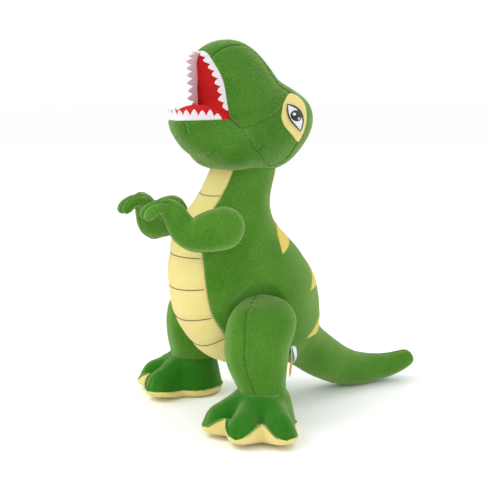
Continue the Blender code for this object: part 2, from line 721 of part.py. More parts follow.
def build_tail():
    phi = np.radians(np.linspace(-90, 270, TAIL_COLUMNS + 1))
    inner = tail_rings(phi[:-1], TAIL_ROWS, FILL_INSET)
    ring_solid("tail_stuffing", inner, (cap_rings(inner[0], on_rump), cap_rings(inner[-1], steps=())), FIBRE)
    full = tail_rings(phi, TAIL_ROWS)
    middle = full[:, :-1].mean(axis=1)[:, None]
    half = TAIL_COLUMNS // 2
    for name, first in (("tail_side_left", 0), ("tail_side_right", half)):
        grid = drawn_back(full[:, first:first + half + 1], ("left", "right"))
        panel(name, grid, grid - middle, GREEN)


# ---------- legs and feet ----------

# height share from ankle to top, back shift, half width, half length (shares)
LEG_PROFILE = (
    (0.00, 0.000, 0.92, 0.62),
    (0.10, -0.001, 0.98, 0.67),
    (0.26, -0.001, 1.00, 0.80),
    (0.44, 0.000, 1.00, 0.91),
    (0.60, 0.003, 0.99, 0.98),
    (0.75, 0.006, 0.90, 1.00),
    (0.87, 0.009, 0.72, 0.86),
    (0.95, 0.012, 0.48, 0.60),
    (1.00, 0.014, 0.18, 0.22),
)
LEG_ROWS = 9
LEG_COLUMNS = 16
ANKLE_PIVOT = np.array([ANKLE_X, 0.0, ANKLE_Z - ANKLE_PIVOT_DROP])
ANKLE_BALL = math.hypot(ANKLE_RADIUS, ANKLE_PIVOT_DROP)


def leg_grid(u, phi, start_z, inset=0.0):
    """Left leg: rings from the ankle up; the inner side is flat against the flank."""
    rows = np.array([(start_z + f * (LEG_TOP_Z - start_z), y, w * LEG_HALF_WIDTH, d * THIGH_LENGTH)
                     for f, y, w, d in LEG_PROFILE])
    rows[0, 2:] = ANKLE_RADIUS
    z, shift, half, length = smooth_curve(np.linspace(0, 1, len(rows)), rows, u).T
    power = 2.0 + 0.5 * smooth_step(u * 3)[:, None]
    c, s = np.cos(phi)[None, :], np.sin(phi)[None, :]
    x = half[:, None] * np.sign(c) * np.abs(c) ** (2 / power)
    y = length[:, None] * np.sign(s) * np.abs(s) ** (2 / power)
    # the top of the leg leans in to the flank
    lean = (HIP_HALF_WIDTH + LEG_CLEARANCE + half)[:, None]
    centre = lean + (ANKLE_X - lean) * (1 - smooth_step(u * 2.5))[:, None]
    grid = np.stack([centre + x, shift[:, None] + y, np.broadcast_to(z[:, None], x.shape)], axis=-1)
    if inset:
        grid = grid - inset * outward_normals(grid, True)
    grid[..., 0] = np.maximum(grid[..., 0], HIP_HALF_WIDTH + LEG_CLEARANCE + inset)
    return grid


def build_leg(side, name):
    rows = np.linspace(0, 1, LEG_ROWS + 1)
    phi = np.radians(np.linspace(-90, 270, LEG_COLUMNS + 1))
    reach = ANKLE_BALL + JOINT_GAP
    fill_radius = ANKLE_RADIUS - FILL_INSET
    fill_z = ANKLE_PIVOT[2] + math.sqrt(reach ** 2 - fill_radius ** 2)
    cover_z = ANKLE_PIVOT[2] + math.sqrt(reach ** 2 - (ANKLE_RADIUS - FABRIC) ** 2)
    inner = leg_grid(rows, phi[:-1], cover_z, FILL_INSET)
    inner[0, :, 2] = fill_z
    inner[..., 2] = np.minimum(inner[..., 2], LEG_TOP_Z - FILL_INSET)
    face = on_ball(ANKLE_PIVOT, reach)
    inner[0] = face(inner[0])
    caps = (cap_rings(inner[0], face), cap_rings(inner[-1], steps=()))
    ring_solid("leg_stuffing_" + name, mirrored(inner, side),
               [[mirrored(r, side) for r in c] for c in caps], FIBRE)
    full = leg_grid(rows, phi, cover_z)
    middle = full[:, :-1].mean(axis=1)[:, None]
    half = LEG_COLUMNS // 2
    for label, first in (("leg_outer_", 0), ("leg_inner_", half)):
        grid = drawn_back(full[:, first:first + half + 1], ("left", "right"))
        panel(label + name, mirrored(grid, side), mirrored(grid - middle, side), DEEP_GREEN)


FOOT_COLUMNS = 36


def foot_outline(angle, inset=0.0):
    """Distance from the ankle axis to the sole's edge, angle in degrees from the middle toe."""
    angle = np.asarray(angle, float)
    width = TOE_HALF_WIDTH - inset
    reach = [np.full_like(angle, HEEL_RADIUS - inset)]
    for toe in (-TOE_SPREAD, 0.0, TOE_SPREAD):
        turn = np.radians((angle - toe + 180) % 360 - 180)
        centre = TOE_REACH - TOE_HALF_WIDTH
        c, s = np.cos(turn), np.sin(turn)
        tip = centre * c + np.sqrt(np.maximum(width ** 2 - (centre * s) ** 2, 0))
        flank = width / np.maximum(np.abs(s), 1e-6)
        r = np.where(flank * c < centre, flank, tip)
        reach.append(np.where(c > 0, np.minimum(r, TOE_REACH - inset), 0.0))
    return np.sum(np.array(reach) ** 12.0, axis=0) ** (1 / 12.0)


def foot_place(angle, r, z):
    turn = np.radians(FOOT_SPLAY + angle)
    return np.stack([ANKLE_X + r * np.sin(turn), -r * np.cos(turn), z + 0 * r], axis=-1)


def foot_top(t, length):
    """Height of the foot's upper: t runs 0 at the ankle seam to 1 at the sole's edge."""
    mound = (ANKLE_Z - TOE_HEIGHT) * np.exp(-(t * length / 0.011) ** 2)
    return SOLE_EDGE_Z + np.sqrt(np.maximum(1 - t ** 2.8, 0)) * (TOE_HEIGHT - SOLE_EDGE_Z + mound)


def build_foot(side, name):
    angle = np.linspace(-180, 180, FOOT_COLUMNS + 1)[:-1][None, :]
    t = np.array([0.0, 0.3, 0.62, 0.87, 1.0])[:, None]
    outline = foot_outline(angle)
    length = outline - ANKLE_RADIUS
    upper = foot_place(angle, ANKLE_RADIUS + t * length, foot_top(t, length))
    normal = outward_normals(upper, True)
    if normal[:, :, 2].mean() < 0:
        normal = -normal
    panel("foot_upper_" + name, mirrored(upper, side), mirrored(normal, side), DEEP_GREEN, wrap=True)

    share = np.array([1.0, 0.975, 0.90, 0.5])[:, None]
    height = np.array([SOLE_EDGE_Z - 1.5 * SEAM_GAP, 0.0035, 0.0, 0.0])[:, None]
    sole = foot_place(angle, share * (outline - 0.0003), height)
    below = np.broadcast_to(np.array([0.0, 0.0, -1.0]), sole.shape).copy()
    below[:2] = sole[:2] - sole[:2].mean(axis=1)[:, None]
    panel("foot_sole_" + name, mirrored(sole, side), mirrored(below, side), CREAM, wrap=True, floor=True)

    inside = foot_outline(angle, FILL_INSET + 0.0005)
    ankle = ANKLE_RADIUS - FILL_INSET
    top = foot_top(t, length) - FILL_INSET - 0.0008
    top[0] = ANKLE_Z
    low_share = np.array([0.985, 0.88])[:, None]
    low_height = np.array([SOLE_EDGE_Z - 0.0035, FABRIC + FILL_GAP])[:, None]
    top[-1] = SOLE_EDGE_Z - 0.0010
    rings = np.concatenate([foot_place(angle, ankle + t * (inside - ankle), top),
                            foot_place(angle, low_share * inside, low_height)])
    face = on_ball(ANKLE_PIVOT, math.hypot(ankle, ANKLE_Z - ANKLE_PIVOT[2]))
    caps = (cap_rings(rings[0], face), cap_rings(rings[-1], steps=()))
    ring_solid("foot_stuffing_" + name, mirrored(rings, side),
               [[mirrored(c, side) for c in cap] for cap in caps], FIBRE)


# ---------- arms ----------

SHOULDER_SHARE = 0.79      # height of the shoulder on the body, share of its rows
SHOULDER_ANGLE = 60.0      # degrees round the body from the front
ARM_COLUMNS = 14
ARM_DEPTH = 1.18           # height over width of the arm
# middle of the left arm from the shoulder point (x, y, z) and radius, rear of the shoulder to the fingertips
ARM_ROUTE = (
    (0.0098, 0.0095, 0.0048, 0.0040),
    (0.0128, 0.0055, 0.0048, 0.0125),
    (0.0163, -0.0025, 0.0048, 0.0178),
    (0.0163, -0.0135, 0.0038, 0.0184),
    (0.0118, -0.0255, 0.0013, 0.0172),
    (0.0053, -0.0360, -0.0002, 0.0158),
    (-0.0017, -0.0445, 0.0043, 0.0138),
    (-0.0057, -0.0495, 0.0123, 0.0122),
    (-0.0090, -0.0540, 0.0198, 0.0112),
    (-0.0112, -0.0605, 0.0245, 0.0102),
    (-0.0127, -0.0685, 0.0241, 0.0095),
    (-0.0137, -0.0765, 0.0213, 0.0080),
    (-0.0142, -0.0820, 0.0173, 0.0030),
)


def shoulder_frame():
    """Point and outward normal of the plane that the left arm lies against."""
    u = np.array([SHOULDER_SHARE - 0.02, SHOULDER_SHARE, SHOULDER_SHARE + 0.02])
    phi = np.radians([SHOULDER_ANGLE - 4, SHOULDER_ANGLE, SHOULDER_ANGLE + 4])
    patch = body_grid(u, phi)
    normal = unit(np.cross(patch[2, 1] - patch[0, 1], patch[1, 2] - patch[1, 0]))
    if normal[0] < 0:
        normal = -normal
    near = body_grid(np.linspace(0.5, 1, 40), np.radians(np.linspace(0, 120, 60))).reshape(-1, 3)
    near = near[np.linalg.norm(near - patch[1, 1], axis=1) < 0.045]
    out = float(np.max((near - patch[1, 1]) @ normal)) + JOINT_GAP
    return patch[1, 1] + normal * out, normal


SHOULDER, SHOULDER_NORMAL = shoulder_frame()


def arm_grid(s, phi, inset=0.0):
    """Left arm: rings along its route; the upper arm is flat against the shoulder plane."""
    grid = SHOULDER + tube_grid(ARM_ROUTE, s, phi, np.array([0.93, -0.37, 0.0]), ARM_DEPTH)
    if inset:
        grid = grid - inset * outward_normals(grid, True)
    depth = (grid - SHOULDER) @ SHOULDER_NORMAL
    limit = inset - 0.030 * smooth_step((s - 0.30) / 0.25)[:, None]
    return grid + np.maximum(limit - depth, 0)[..., None] * SHOULDER_NORMAL


def build_arm(side, name):
    rows = np.concatenate([[0, 0.03], np.linspace(0.09, 0.93, 11), [0.975, 1]])
    phi = np.radians(np.linspace(-90, 270, ARM_COLUMNS + 1))
    inner = arm_grid(rows[1:-2], phi[:-1], FILL_INSET + 0.0006)
    caps = (cap_rings(inner[0], steps=()), cap_rings(inner[-1], steps=()))
    ring_solid("arm_stuffing_" + name, mirrored(inner, side),
               [[mirrored(c, side) for c in cap] for cap in caps], FIBRE)
    full = arm_grid(rows, phi)
    middle = full[:, :-1].mean(axis=1)[:, None]
    half = ARM_COLUMNS // 2
    for label, first in (("arm_outer_", 0), ("arm_inner_", half)):
        grid = drawn_back(full[:, first:first + half + 1], ("left", "right"))
        panel(label + name, mirrored(grid, side), mirrored(grid - middle, side), GREEN)


# ---------- trim on the body ----------

STRIPE_COLUMNS = 23
STRIPE_TIP = 0.0006        # half width left at a stripe's tips
# height of the middle, half height there, how far the tips drop, degrees from the back to a tip
BACK_STRIPES = ((0.197, 0.0070, 0.022, 68.0), (0.152, 0.0070, 0.013, 54.0), (0.105, 0.0065, 0.008, 52.0))


def build_stripes():
    """Pointed stripes across the back, each a long diamond whose tips run down the sides."""
    full = body_grid(BODY_ROWS, body_angles())
    place = laid_on(full, outward_body(full))
    heights = full[:, 0, 2]
    span = (180 - BELLY_PANEL_ANGLE) / SIDE_COLUMNS
    back = BELLY_COLUMNS + SIDE_COLUMNS
    across = np.linspace(-1, 1, STRIPE_COLUMNS)[None, :]
    for number, (middle, half, drop, reach) in enumerate(BACK_STRIPES, 1):
        level = np.array([-1.0, 0.0, 1.0])[:, None]
        height = middle - drop * np.abs(across) ** 1.3 + level * (half * (1 - np.abs(across)) + STRIPE_TIP)
        row = np.interp(height, heights, np.arange(len(heights)))
        grid, normal = place(np.stack([row, back + across * reach / span + 0 * row], axis=-1))
        panel("back_stripe_%d" % number, grid + normal * (PATCH_GAP + FABRIC), normal, CREAM)


# ---------- labels sewn into the left side seam ----------

LABEL_HEIGHT = 0.073       # where the care label leaves the seam
LABEL_ANGLE = 120.0        # degrees round the body from the front
LABEL_WIDTH = 0.012
LABEL_THICKNESS = 0.0005
CARE_LOOP = ((0.0009, 0.0), (0.0040, -0.0015), (0.0062, -0.0075), (0.0058, -0.0135), (0.0038, -0.0165),
             (0.0022, -0.0140), (0.0028, -0.0080), (0.0020, -0.0045))
SIZE_STRIP = ((0.0012, -0.0185), (0.0020, -0.0225), (0.0026, -0.0280), (0.0026, -0.0330))


def build_label(name, route, width, finish):
    """Strip of ribbon whose side view is the route (out from the seam, up) and whose width lies flat."""
    rows = np.linspace(0, 1, 60)
    line = body_grid(rows, np.radians([LABEL_ANGLE, LABEL_ANGLE + 2]))
    root = np.array([np.interp(LABEL_HEIGHT, line[:, 0, 2], line[:, 0, axis]) for axis in range(3)])
    along = unit((line[20, 1] - line[20, 0]) * [1, 1, 0])
    out = np.array([-along[1], along[0], 0.0])
    if out[0] < 0:
        out = -out
    route = np.asarray(route)
    points = root + route[:, :1] * out + route[:, 1:] * np.array([0, 0, 1.0])
    grid = np.stack([points - along * width / 2, points + along * width / 2], axis=1)
    thicken(new_object(name, grid, grid_faces(len(route), 2, False), finish), LABEL_THICKNESS, 0.0)


# ---------- assembly ----------

def moving_part_of(name):
    """Moving part that a piece belongs to, and that part's pivot."""
    side = -1.0 if name.endswith("_right") else 1.0
    flip = np.array([side, 1.0, 1.0])
    tag = "_right" if side < 0 else "_left"
    if name.startswith(("jaw_", "tongue_", "lower_teeth")):
        return "jaw", MOUTH_LINE
    if name.startswith(("head_", "snout_", "cheek_", "throat_", "palate_", "upper_teeth", "eye_")):
        return "head", NECK_PIVOT
    if name.startswith("arm_"):
        return "arm" + tag, SHOULDER * flip
    if name.startswith("leg_"):
        return "leg" + tag, np.array([HIP_HALF_WIDTH, 0.0, HIP_Z]) * flip
    if name.startswith("foot_"):
        return "foot" + tag, ANKLE_PIVOT * flip
    if name.startswith("tail_"):
        return "tail", np.array([0.0, TAIL_PIVOT_Y, TAIL_PIVOT_Z])
    return "root", np.zeros(3)


def assemble():
    """Hang each moving part's pieces on an empty at its pivot, and centre the toy over its origin."""
    view = bpy.context.evaluated_depsgraph_get()
    view.update()
    pieces = [item for item in bpy.data.objects if item.type == "MESH" and not item.hide_render]
    reach = [corner[1] for item in pieces for corner in item.evaluated_get(view).bound_box]
    toy = bpy.data.objects.new("toy", None)
    bpy.context.scene.collection.objects.link(toy)
    toy.location = (0, -(min(reach) + max(reach)) / 2, 0)
    pivots = {}
    for item in list(bpy.data.objects):
        if item is toy or item.type != "MESH":
            continue
        part, pivot = moving_part_of(item.name)
        if item.hide_render:
            item.parent = toy
            continue
        if part not in pivots:
            pivots[part] = bpy.data.objects.new(part + "_pivot", None)
            bpy.context.scene.collection.objects.link(pivots[part])
            pivots[part].parent = toy
            pivots[part].location = pivot
        item.parent = pivots[part]
        item.location = -pivot


def main():
    clear_scene()
    build_body()
    build_head()
    build_jaw()
    build_tail()
    for side, name in ((1, "left"), (-1, "right")):
        build_leg(side, name)
        build_foot(side, name)
        build_arm(side, name)
    build_stripes()
    build_label("care_label", CARE_LOOP, LABEL_WIDTH, LABEL_WHITE)
    build_label("size_label", SIZE_STRIP, LABEL_WIDTH * 0.75, LABEL_GOLD)
    assemble()


main()
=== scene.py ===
import json
import math

import bpy
import numpy as np
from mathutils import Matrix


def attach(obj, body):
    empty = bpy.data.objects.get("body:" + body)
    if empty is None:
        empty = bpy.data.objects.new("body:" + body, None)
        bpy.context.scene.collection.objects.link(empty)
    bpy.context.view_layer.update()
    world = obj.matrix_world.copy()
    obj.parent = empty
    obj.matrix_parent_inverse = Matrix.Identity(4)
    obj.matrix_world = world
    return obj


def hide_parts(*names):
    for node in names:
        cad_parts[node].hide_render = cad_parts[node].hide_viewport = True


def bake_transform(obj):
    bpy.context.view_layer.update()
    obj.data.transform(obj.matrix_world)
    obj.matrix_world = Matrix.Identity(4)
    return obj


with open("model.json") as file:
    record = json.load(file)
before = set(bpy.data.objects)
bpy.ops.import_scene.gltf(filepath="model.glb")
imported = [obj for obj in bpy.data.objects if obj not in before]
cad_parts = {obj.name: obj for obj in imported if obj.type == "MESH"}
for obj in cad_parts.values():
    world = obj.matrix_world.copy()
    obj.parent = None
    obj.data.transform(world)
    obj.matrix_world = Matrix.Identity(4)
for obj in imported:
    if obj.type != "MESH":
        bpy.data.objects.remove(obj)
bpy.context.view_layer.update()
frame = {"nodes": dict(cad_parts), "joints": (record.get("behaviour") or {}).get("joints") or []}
joints = {joint["name"]: joint for joint in frame["joints"]}

# The pattern is drawn with Y zero over the ankles, as the joints show.
patternShift = joints["ankle_left"]["pos_m"][1]
mouthLine = np.array(joints["jaw_flex"]["pos_m"]) - [0, patternShift, 0]
shoulderPivot = np.array(joints["shoulder_left"]["pos_m"]) - [0, patternShift, 0]
shoulderNormal = np.array(joints["shoulder_left"]["axis"])
bothSides = ((1, "Left"), (-1, "Right"))


# Curves and arrays

def smoothCurve(stations, values, t):
    # cubic through the values at the stations, each tangent the weighted mean of its two slopes
    stations, values = np.asarray(stations, float), np.asarray(values, float)
    single = values.ndim == 1
    values = values[:, None] if single else values
    t = np.clip(np.asarray(t, float), stations[0], stations[-1])
    step = np.diff(stations)
    slope = np.diff(values, axis=0) / step[:, None]
    tangent = np.zeros_like(values)
    ahead, behind = step[1:, None], step[:-1, None]
    tangent[1:-1] = (slope[:-1] * ahead + slope[1:] * behind) / (ahead + behind)
    tangent[0], tangent[-1] = slope[0], slope[-1]
    i = np.clip(np.searchsorted(stations, t, side="right") - 1, 0, len(step) - 1)
    u, h = ((t - stations[i]) / step[i])[..., None], step[i][..., None]
    result = ((2 * u**3 - 3 * u**2 + 1) * values[i] + (u**3 - 2 * u**2 + u) * h * tangent[i]
              + (3 * u**2 - 2 * u**3) * values[i + 1] + (u**3 - u**2) * h * tangent[i + 1])
    return result[..., 0] if single else result


def evenCurve(points, t):
    # the same curve with its points at even stations from 0 to 1
    return smoothCurve(np.linspace(0, 1, len(points)), points, t)


def smoothStep(x):
    # 0 below 0, 1 above 1, and 3x^2 - 2x^3 between
    x = np.clip(x, 0.0, 1.0)
    return x * x * (3 - 2 * x)


def softened(rows, passes):
    # each inner row moves to (before + 2 x itself + after) / 4, once a pass
    rows = rows.copy()
    for _ in range(passes):
        rows[1:-1] = (rows[:-2] + 2 * rows[1:-1] + rows[2:]) / 4
    return rows


def readAt(t, stations, table):
    # each column of the table at t, in straight lines between its stations
    return [np.interp(t, stations, column) for column in np.asarray(table).T]


def closedCurve(points, count):
    # a smooth loop through the points, sampled evenly by point number
    points = np.asarray(points, float)
    wrapped = np.concatenate([points[-3:], points, points[:3]])
    t = np.arange(len(wrapped)) - 3.0
    return smoothCurve(t, wrapped, np.linspace(0, len(points), count, endpoint=False))


def unit(v):
    # the same directions, each of length 1
    v = np.asarray(v, float)
    return v / np.maximum(np.linalg.norm(v, axis=-1, keepdims=True), 1e-12)


def mirror(side):
    return np.array([side, 1.0, 1.0])


def gridNormals(grid, outward, wrap=False):
    # cross product of the two ways across the grid, turned to agree with outward
    along = np.gradient(grid, axis=0)
    if wrap:
        around = np.roll(grid, -1, axis=1) - np.roll(grid, 1, axis=1)
    else:
        around = np.gradient(grid, axis=1)
    normal = unit(np.cross(along, around))
    return -normal if np.sum(normal * outward) < 0 else normal


def lengths(grid, axis=0):
    # distance run along a line or grid from its first point, row or column
    step = np.linalg.norm(np.diff(grid, axis=axis), axis=-1)
    start = np.zeros_like(np.take(step, [0], axis=axis))
    return np.concatenate([start, np.cumsum(step, axis=axis)], axis=axis)


def edgeDistance(grid, edges):
    # distance over the cloth to the nearest of the named edges
    down, across = lengths(grid, 0), lengths(grid, 1)
    ways = {"top": down[-1:] - down, "bottom": down, "left": across, "right": across[:, -1:] - across}
    distance = np.full(grid.shape[:2], 1.0)
    for edge in edges:
        distance = np.minimum(distance, ways[edge])
    return distance


def wobble(points, size, seed):
    # sum of four slow sine waves across space, about -1 to 1, with a wavelength near size
    rng = np.random.default_rng(seed)
    total = 0.0
    for _ in range(4):
        direction = unit(rng.normal(size=3)) * 2 * math.pi / (size * rng.uniform(0.7, 1.4))
        total = total + np.sin(points @ direction + rng.uniform(0, 6.28))
    return total / 2.6


def uneven(grid, normal, shape):
    # stuffing under cloth: out and in along the normal by height x wobble
    return grid + normal * (shape["height"] * wobble(grid, shape["length"], shape["seed"]))[..., None]


# Meshes

def meshPiece(name, points, faces, material, uv=None):
    # an object at the origin whose mesh holds the pattern's points in the frame's place
    mesh = bpy.data.meshes.new(name)
    points = np.asarray(points, float).reshape(-1, 3) + [0, patternShift, 0]
    mesh.from_pydata(points.tolist(), [], [tuple(map(int, face)) for face in faces])
    mesh.update()
    mesh.shade_smooth()
    if uv is not None:
        layer = mesh.uv_layers.new(name="cut")
        corner = np.zeros(len(mesh.loops), np.int32)
        mesh.loops.foreach_get("vertex_index", corner)
        layer.data.foreach_set("uv", np.asarray(uv, np.float32).reshape(-1, 2)[corner].ravel())
    mesh.materials.append(material)
    piece = bpy.data.objects.new(name, mesh)
    bpy.context.scene.collection.objects.link(piece)
    return piece


def gridFaces(rows, columns, wrap=False):
    # quads between neighbouring rows and columns
    i, j = np.meshgrid(np.arange(rows - 1), np.arange(columns if wrap else columns - 1), indexing="ij")
    k = (j + 1) % columns
    quads = np.stack([i * columns + j, i * columns + k, (i + 1) * columns + k, (i + 1) * columns + j], axis=-1)
    return quads.reshape(-1, 4)


def facedOut(points, faces, outward):
    # the same faces, turned over if most of them look against outward
    flat, away = points.reshape(-1, 3), np.broadcast_to(outward, points.shape).reshape(-1, 3)
    a, b, c = flat[faces[:, 0]], flat[faces[:, 1]], flat[faces[:, 2]]
    agree = np.sum(np.cross(b - a, c - a) * away[faces[:, 0]])
    return faces[:, ::-1] if agree < 0 else faces


def clothWall(piece, thickness):
    # thickness given towards the inside
    wall = piece.modifiers.new("cloth", "SOLIDIFY")
    wall.thickness = thickness
    wall.offset = -1.0


def declare(nodes):
    # hides the CAD nodes that a piece stands for
    if nodes:
        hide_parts(*nodes)


def blendAcross(piece, a, b, start, end):
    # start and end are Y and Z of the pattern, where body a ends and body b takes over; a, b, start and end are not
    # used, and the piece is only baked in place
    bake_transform(piece)


seamShape = {"roll": 0.0015, "width": 0.0042, "pucker": 0.00022, "pitch": 0.0085, "fade": 0.005, "cloth": 0.0012}


def sewn(grid, outward, edges, shape, seed):
    # near a seam the cloth drops roll x (1 - sqrt(1 - near^2)), a quarter circle, and a sine wave
    # along the seam gathers it, fading as exp(-distance / fade)
    normal = gridNormals(grid, outward)
    distance = edgeDistance(grid, edges)
    near = 1 - np.clip(distance / shape["width"], 0, 1)
    drop = shape["roll"] * (1 - np.sqrt(1 - near**2))
    gather = np.sin((lengths(grid, 0) + lengths(grid, 1)) * 2 * math.pi / shape["pitch"]
                    + 1.5 * wobble(grid, 0.03, seed)) * np.exp(-distance / shape["fade"]) * (distance > 0.0004)
    return grid + normal * (gather * shape["pucker"] - drop)[..., None]


def panel(name, grid, outward, material, edges, seed=1, shape=seamShape):
    # one cut panel: an open patch of cloth, given its thickness towards the inside
    cloth = sewn(grid, outward, edges, shape, seed)
    faces = facedOut(cloth, gridFaces(*cloth.shape[:2]), outward)
    middle = cloth.shape[0] // 2
    across = np.broadcast_to(lengths(cloth, 1)[middle][None], cloth.shape[:2])
    piece = meshPiece(name, cloth, faces, material, np.stack([across, lengths(cloth, 0)], axis=-1))
    clothWall(piece, shape["cloth"])
    return piece


def closedSkin(name, rings, material):
    # wrapped rings, each end closed by a fan to its middle
    rows, columns = rings.shape[:2]
    ends = np.stack([rings[0].mean(axis=0), rings[-1].mean(axis=0)])
    points = np.concatenate([rings.reshape(-1, 3), ends])
    quads = gridFaces(rows, columns, True)
    j = np.arange(columns)
    k = (j + 1) % columns
    low = np.stack([k, j, np.full(columns, rows * columns)], axis=-1)
    high = np.stack([(rows - 1) * columns + j, (rows - 1) * columns + k, np.full(columns, rows * columns + 1)], -1)
    tris = np.concatenate([low, high])
    # the signed volume of all triangles from the origin is negative where the faces look inwards
    every = np.concatenate([quads[:, :3], quads[:, [0, 2, 3]], tris])
    if np.sum(points[every[:, 0]] * np.cross(points[every[:, 1]], points[every[:, 2]])) < 0:
        quads, tris = quads[:, ::-1], tris[:, ::-1]
    return meshPiece(name, points, quads.tolist() + tris.tolist(), material)


def thread(path, radius, sides=8):
    # rings of a round thread along a path, its ends drawn to points
    path = np.asarray(path, float)
    ahead = unit(np.gradient(path, axis=0))
    side = unit(np.cross(ahead, np.array([0.31, 0.2, 0.93])))
    top = np.cross(ahead, side)
    turn = np.linspace(0, 2 * math.pi, sides, endpoint=False)[None, :, None]
    ends = np.minimum(np.arange(len(path)), np.arange(len(path))[::-1])
    size = radius * np.clip((ends + 0.15) / 1.5, 0, 1) ** 0.5
    return path[:, None] + size[:, None, None] * (np.cos(turn) * side[:, None] + np.sin(turn) * top[:, None])


def threadPiece(name, paths, radius, material, sides=8):
    # several threads as one piece
    points, faces, first = [], [], 0
    for path in paths:
        rings = thread(path, radius, sides)
        rows = len(rings)
        quads = facedOut(rings, gridFaces(rows, sides, True), rings - np.asarray(path)[:, None])
        caps = np.stack([np.arange(sides)[::-1], (rows - 1) * sides + np.arange(sides)])
        points.append(rings.reshape(-1, 3))
        faces += (quads + first).tolist() + (caps + first).tolist()
        first += rows * sides
    return meshPiece(name, np.concatenate(points), faces, material)


def stitchPaths(line, normal, pitch, share, sink):
    # short raised arcs along a line on the cloth: each stitch covers its share of the pitch
    run = lengths(line)
    count = max(1, int(run[-1] / pitch))
    paths = []
    for number in range(count):
        s = (number + np.linspace(0.5 - share / 2, 0.5 + share / 2, 6)) * run[-1] / count
        points = np.stack(readAt(s, run, line), axis=-1)
        out = unit(np.stack(readAt(s, run, normal), axis=-1))
        arch = np.sin(np.linspace(0, math.pi, 6))[:, None]
        paths.append(points + out * (arch * 0.0005 - sink))
    return paths


# Materials

def srgb(red, green, blue):
    # screen values 0 to 255 as linear light
    value = np.array([red, green, blue]) / 255
    linear = np.where(value <= 0.04045, value / 12.92, ((value + 0.055) / 1.055) ** 2.4)
    return (*linear.tolist(), 1.0)


def groupWith(name, inputs, outputs):
    group = bpy.data.node_groups.new(name, "ShaderNodeTree")
    for label, kind, value in inputs:
        socket = group.interface.new_socket(name=label, in_out="INPUT", socket_type=kind)
        socket.default_value = value
    for label, kind in outputs:
        group.interface.new_socket(name=label, in_out="OUTPUT", socket_type=kind)
    return group, group.nodes.new("NodeGroupInput"), group.nodes.new("NodeGroupOutput")


def noiseNode(group, place, scale, detail=3.0, rough=0.55):
    noise = group.nodes.new("ShaderNodeTexNoise")
    feed(group, noise, {"Vector": place, "Scale": scale, "Detail": detail, "Roughness": rough})
    return noise.outputs["Fac"]


def feed(tree, node, values):
    # each named or numbered input gets a link or a plain value
    for label, source in values.items():
        if isinstance(source, bpy.types.NodeSocket):
            tree.links.new(source, node.inputs[label])
        else:
            node.inputs[label].default_value = source


def mixColour(group, factor, a, b):
    mix = group.nodes.new("ShaderNodeMix")
    mix.data_type = "RGBA"
    feed(group, mix, {0: factor, 6: a, 7: b})
    return mix.outputs[2]


def mathNode(group, operation, a, b):
    node = group.nodes.new("ShaderNodeMath")
    node.operation = operation
    feed(group, node, {0: a, 1: b})
    return node.outputs[0]


def rangeNode(group, value, low, high, toLow=0.0, toHigh=1.0):
    node = group.nodes.new("ShaderNodeMapRange")
    feed(group, node, {"Value": value, "From Min": low, "From Max": high, "To Min": toLow, "To Max": toHigh})
    return node.outputs["Result"]


def makePileGroup():
    # short velvet pile: brushed patches tens of millimetres wide, knit ribs and single tufts; the lighter colour also
    # paints light on the tufts' tips and the shaded colour paints shade in the pits between them
    group, given, result = groupWith(
        "shortPile",
        [("Colour", "NodeSocketColor", (0.1, 0.3, 0.05, 1)), ("BrushedAndTipLight", "NodeSocketColor", (0.2, 0.4, 0.1, 1)),
         ("Shaded", "NodeSocketColor", (0.05, 0.2, 0.02, 1)), ("Patches", "NodeSocketFloat", 0.5),
         ("Tufts", "NodeSocketFloat", 0.5)],
        [("Colour", "NodeSocketColor"), ("Height", "NodeSocketFloat"), ("Roughness", "NodeSocketFloat")])
    place = group.nodes.new("ShaderNodeTexCoord").outputs["Object"]
    stretch = group.nodes.new("ShaderNodeMapping")
    feed(group, stretch, {"Vector": place, "Scale": (1.0, 1.0, 0.7)})
    upright = stretch.outputs["Vector"]
    patches, tufts = noiseNode(group, place, 22), noiseNode(group, upright, 1500, 2.0, 0.6)
    clumps, fine = noiseNode(group, upright, 760, 3.0, 0.65), noiseNode(group, place, 90)
    base, brushedAndTipLight, shaded = (given.outputs[label] for label in ("Colour", "BrushedAndTipLight", "Shaded"))
    patchShare, tuftShare = given.outputs["Patches"], given.outputs["Tufts"]
    colour = mixColour(group, mathNode(group, "MULTIPLY", rangeNode(group, patches, 0.38, 0.66), patchShare),
                       base, brushedAndTipLight)
    dark = mathNode(group, "MULTIPLY", rangeNode(group, fine, 0.50, 0.80, 0.0, 0.5), patchShare)
    colour = mixColour(group, dark, colour, shaded)
    depth = mathNode(group, "ADD", rangeNode(group, tufts, 0.35, 0.65, 0.0, 0.6),
                     rangeNode(group, clumps, 0.35, 0.65, 0.0, 0.4))
    # painted shade: where the pile lies low the colour turns towards the shaded colour
    paintedPitShade = mathNode(group, "MULTIPLY", rangeNode(group, depth, 0.0, 1.0, 0.9, 0.0), tuftShare)
    colour = mixColour(group, paintedPitShade, colour, shaded)
    # painted light: where the tufts stand high the colour turns towards the lighter colour
    tip = mathNode(group, "MULTIPLY", rangeNode(group, depth, 0.55, 0.95, 0.0, 0.8), tuftShare)
    colour = mixColour(group, tip, colour, brushedAndTipLight)
    rough = rangeNode(group, depth, 0.0, 1.0, 0.98, 0.84)
    feed(group, result, {"Colour": colour, "Height": depth, "Roughness": rough})
    return group


pileGroup = makePileGroup()


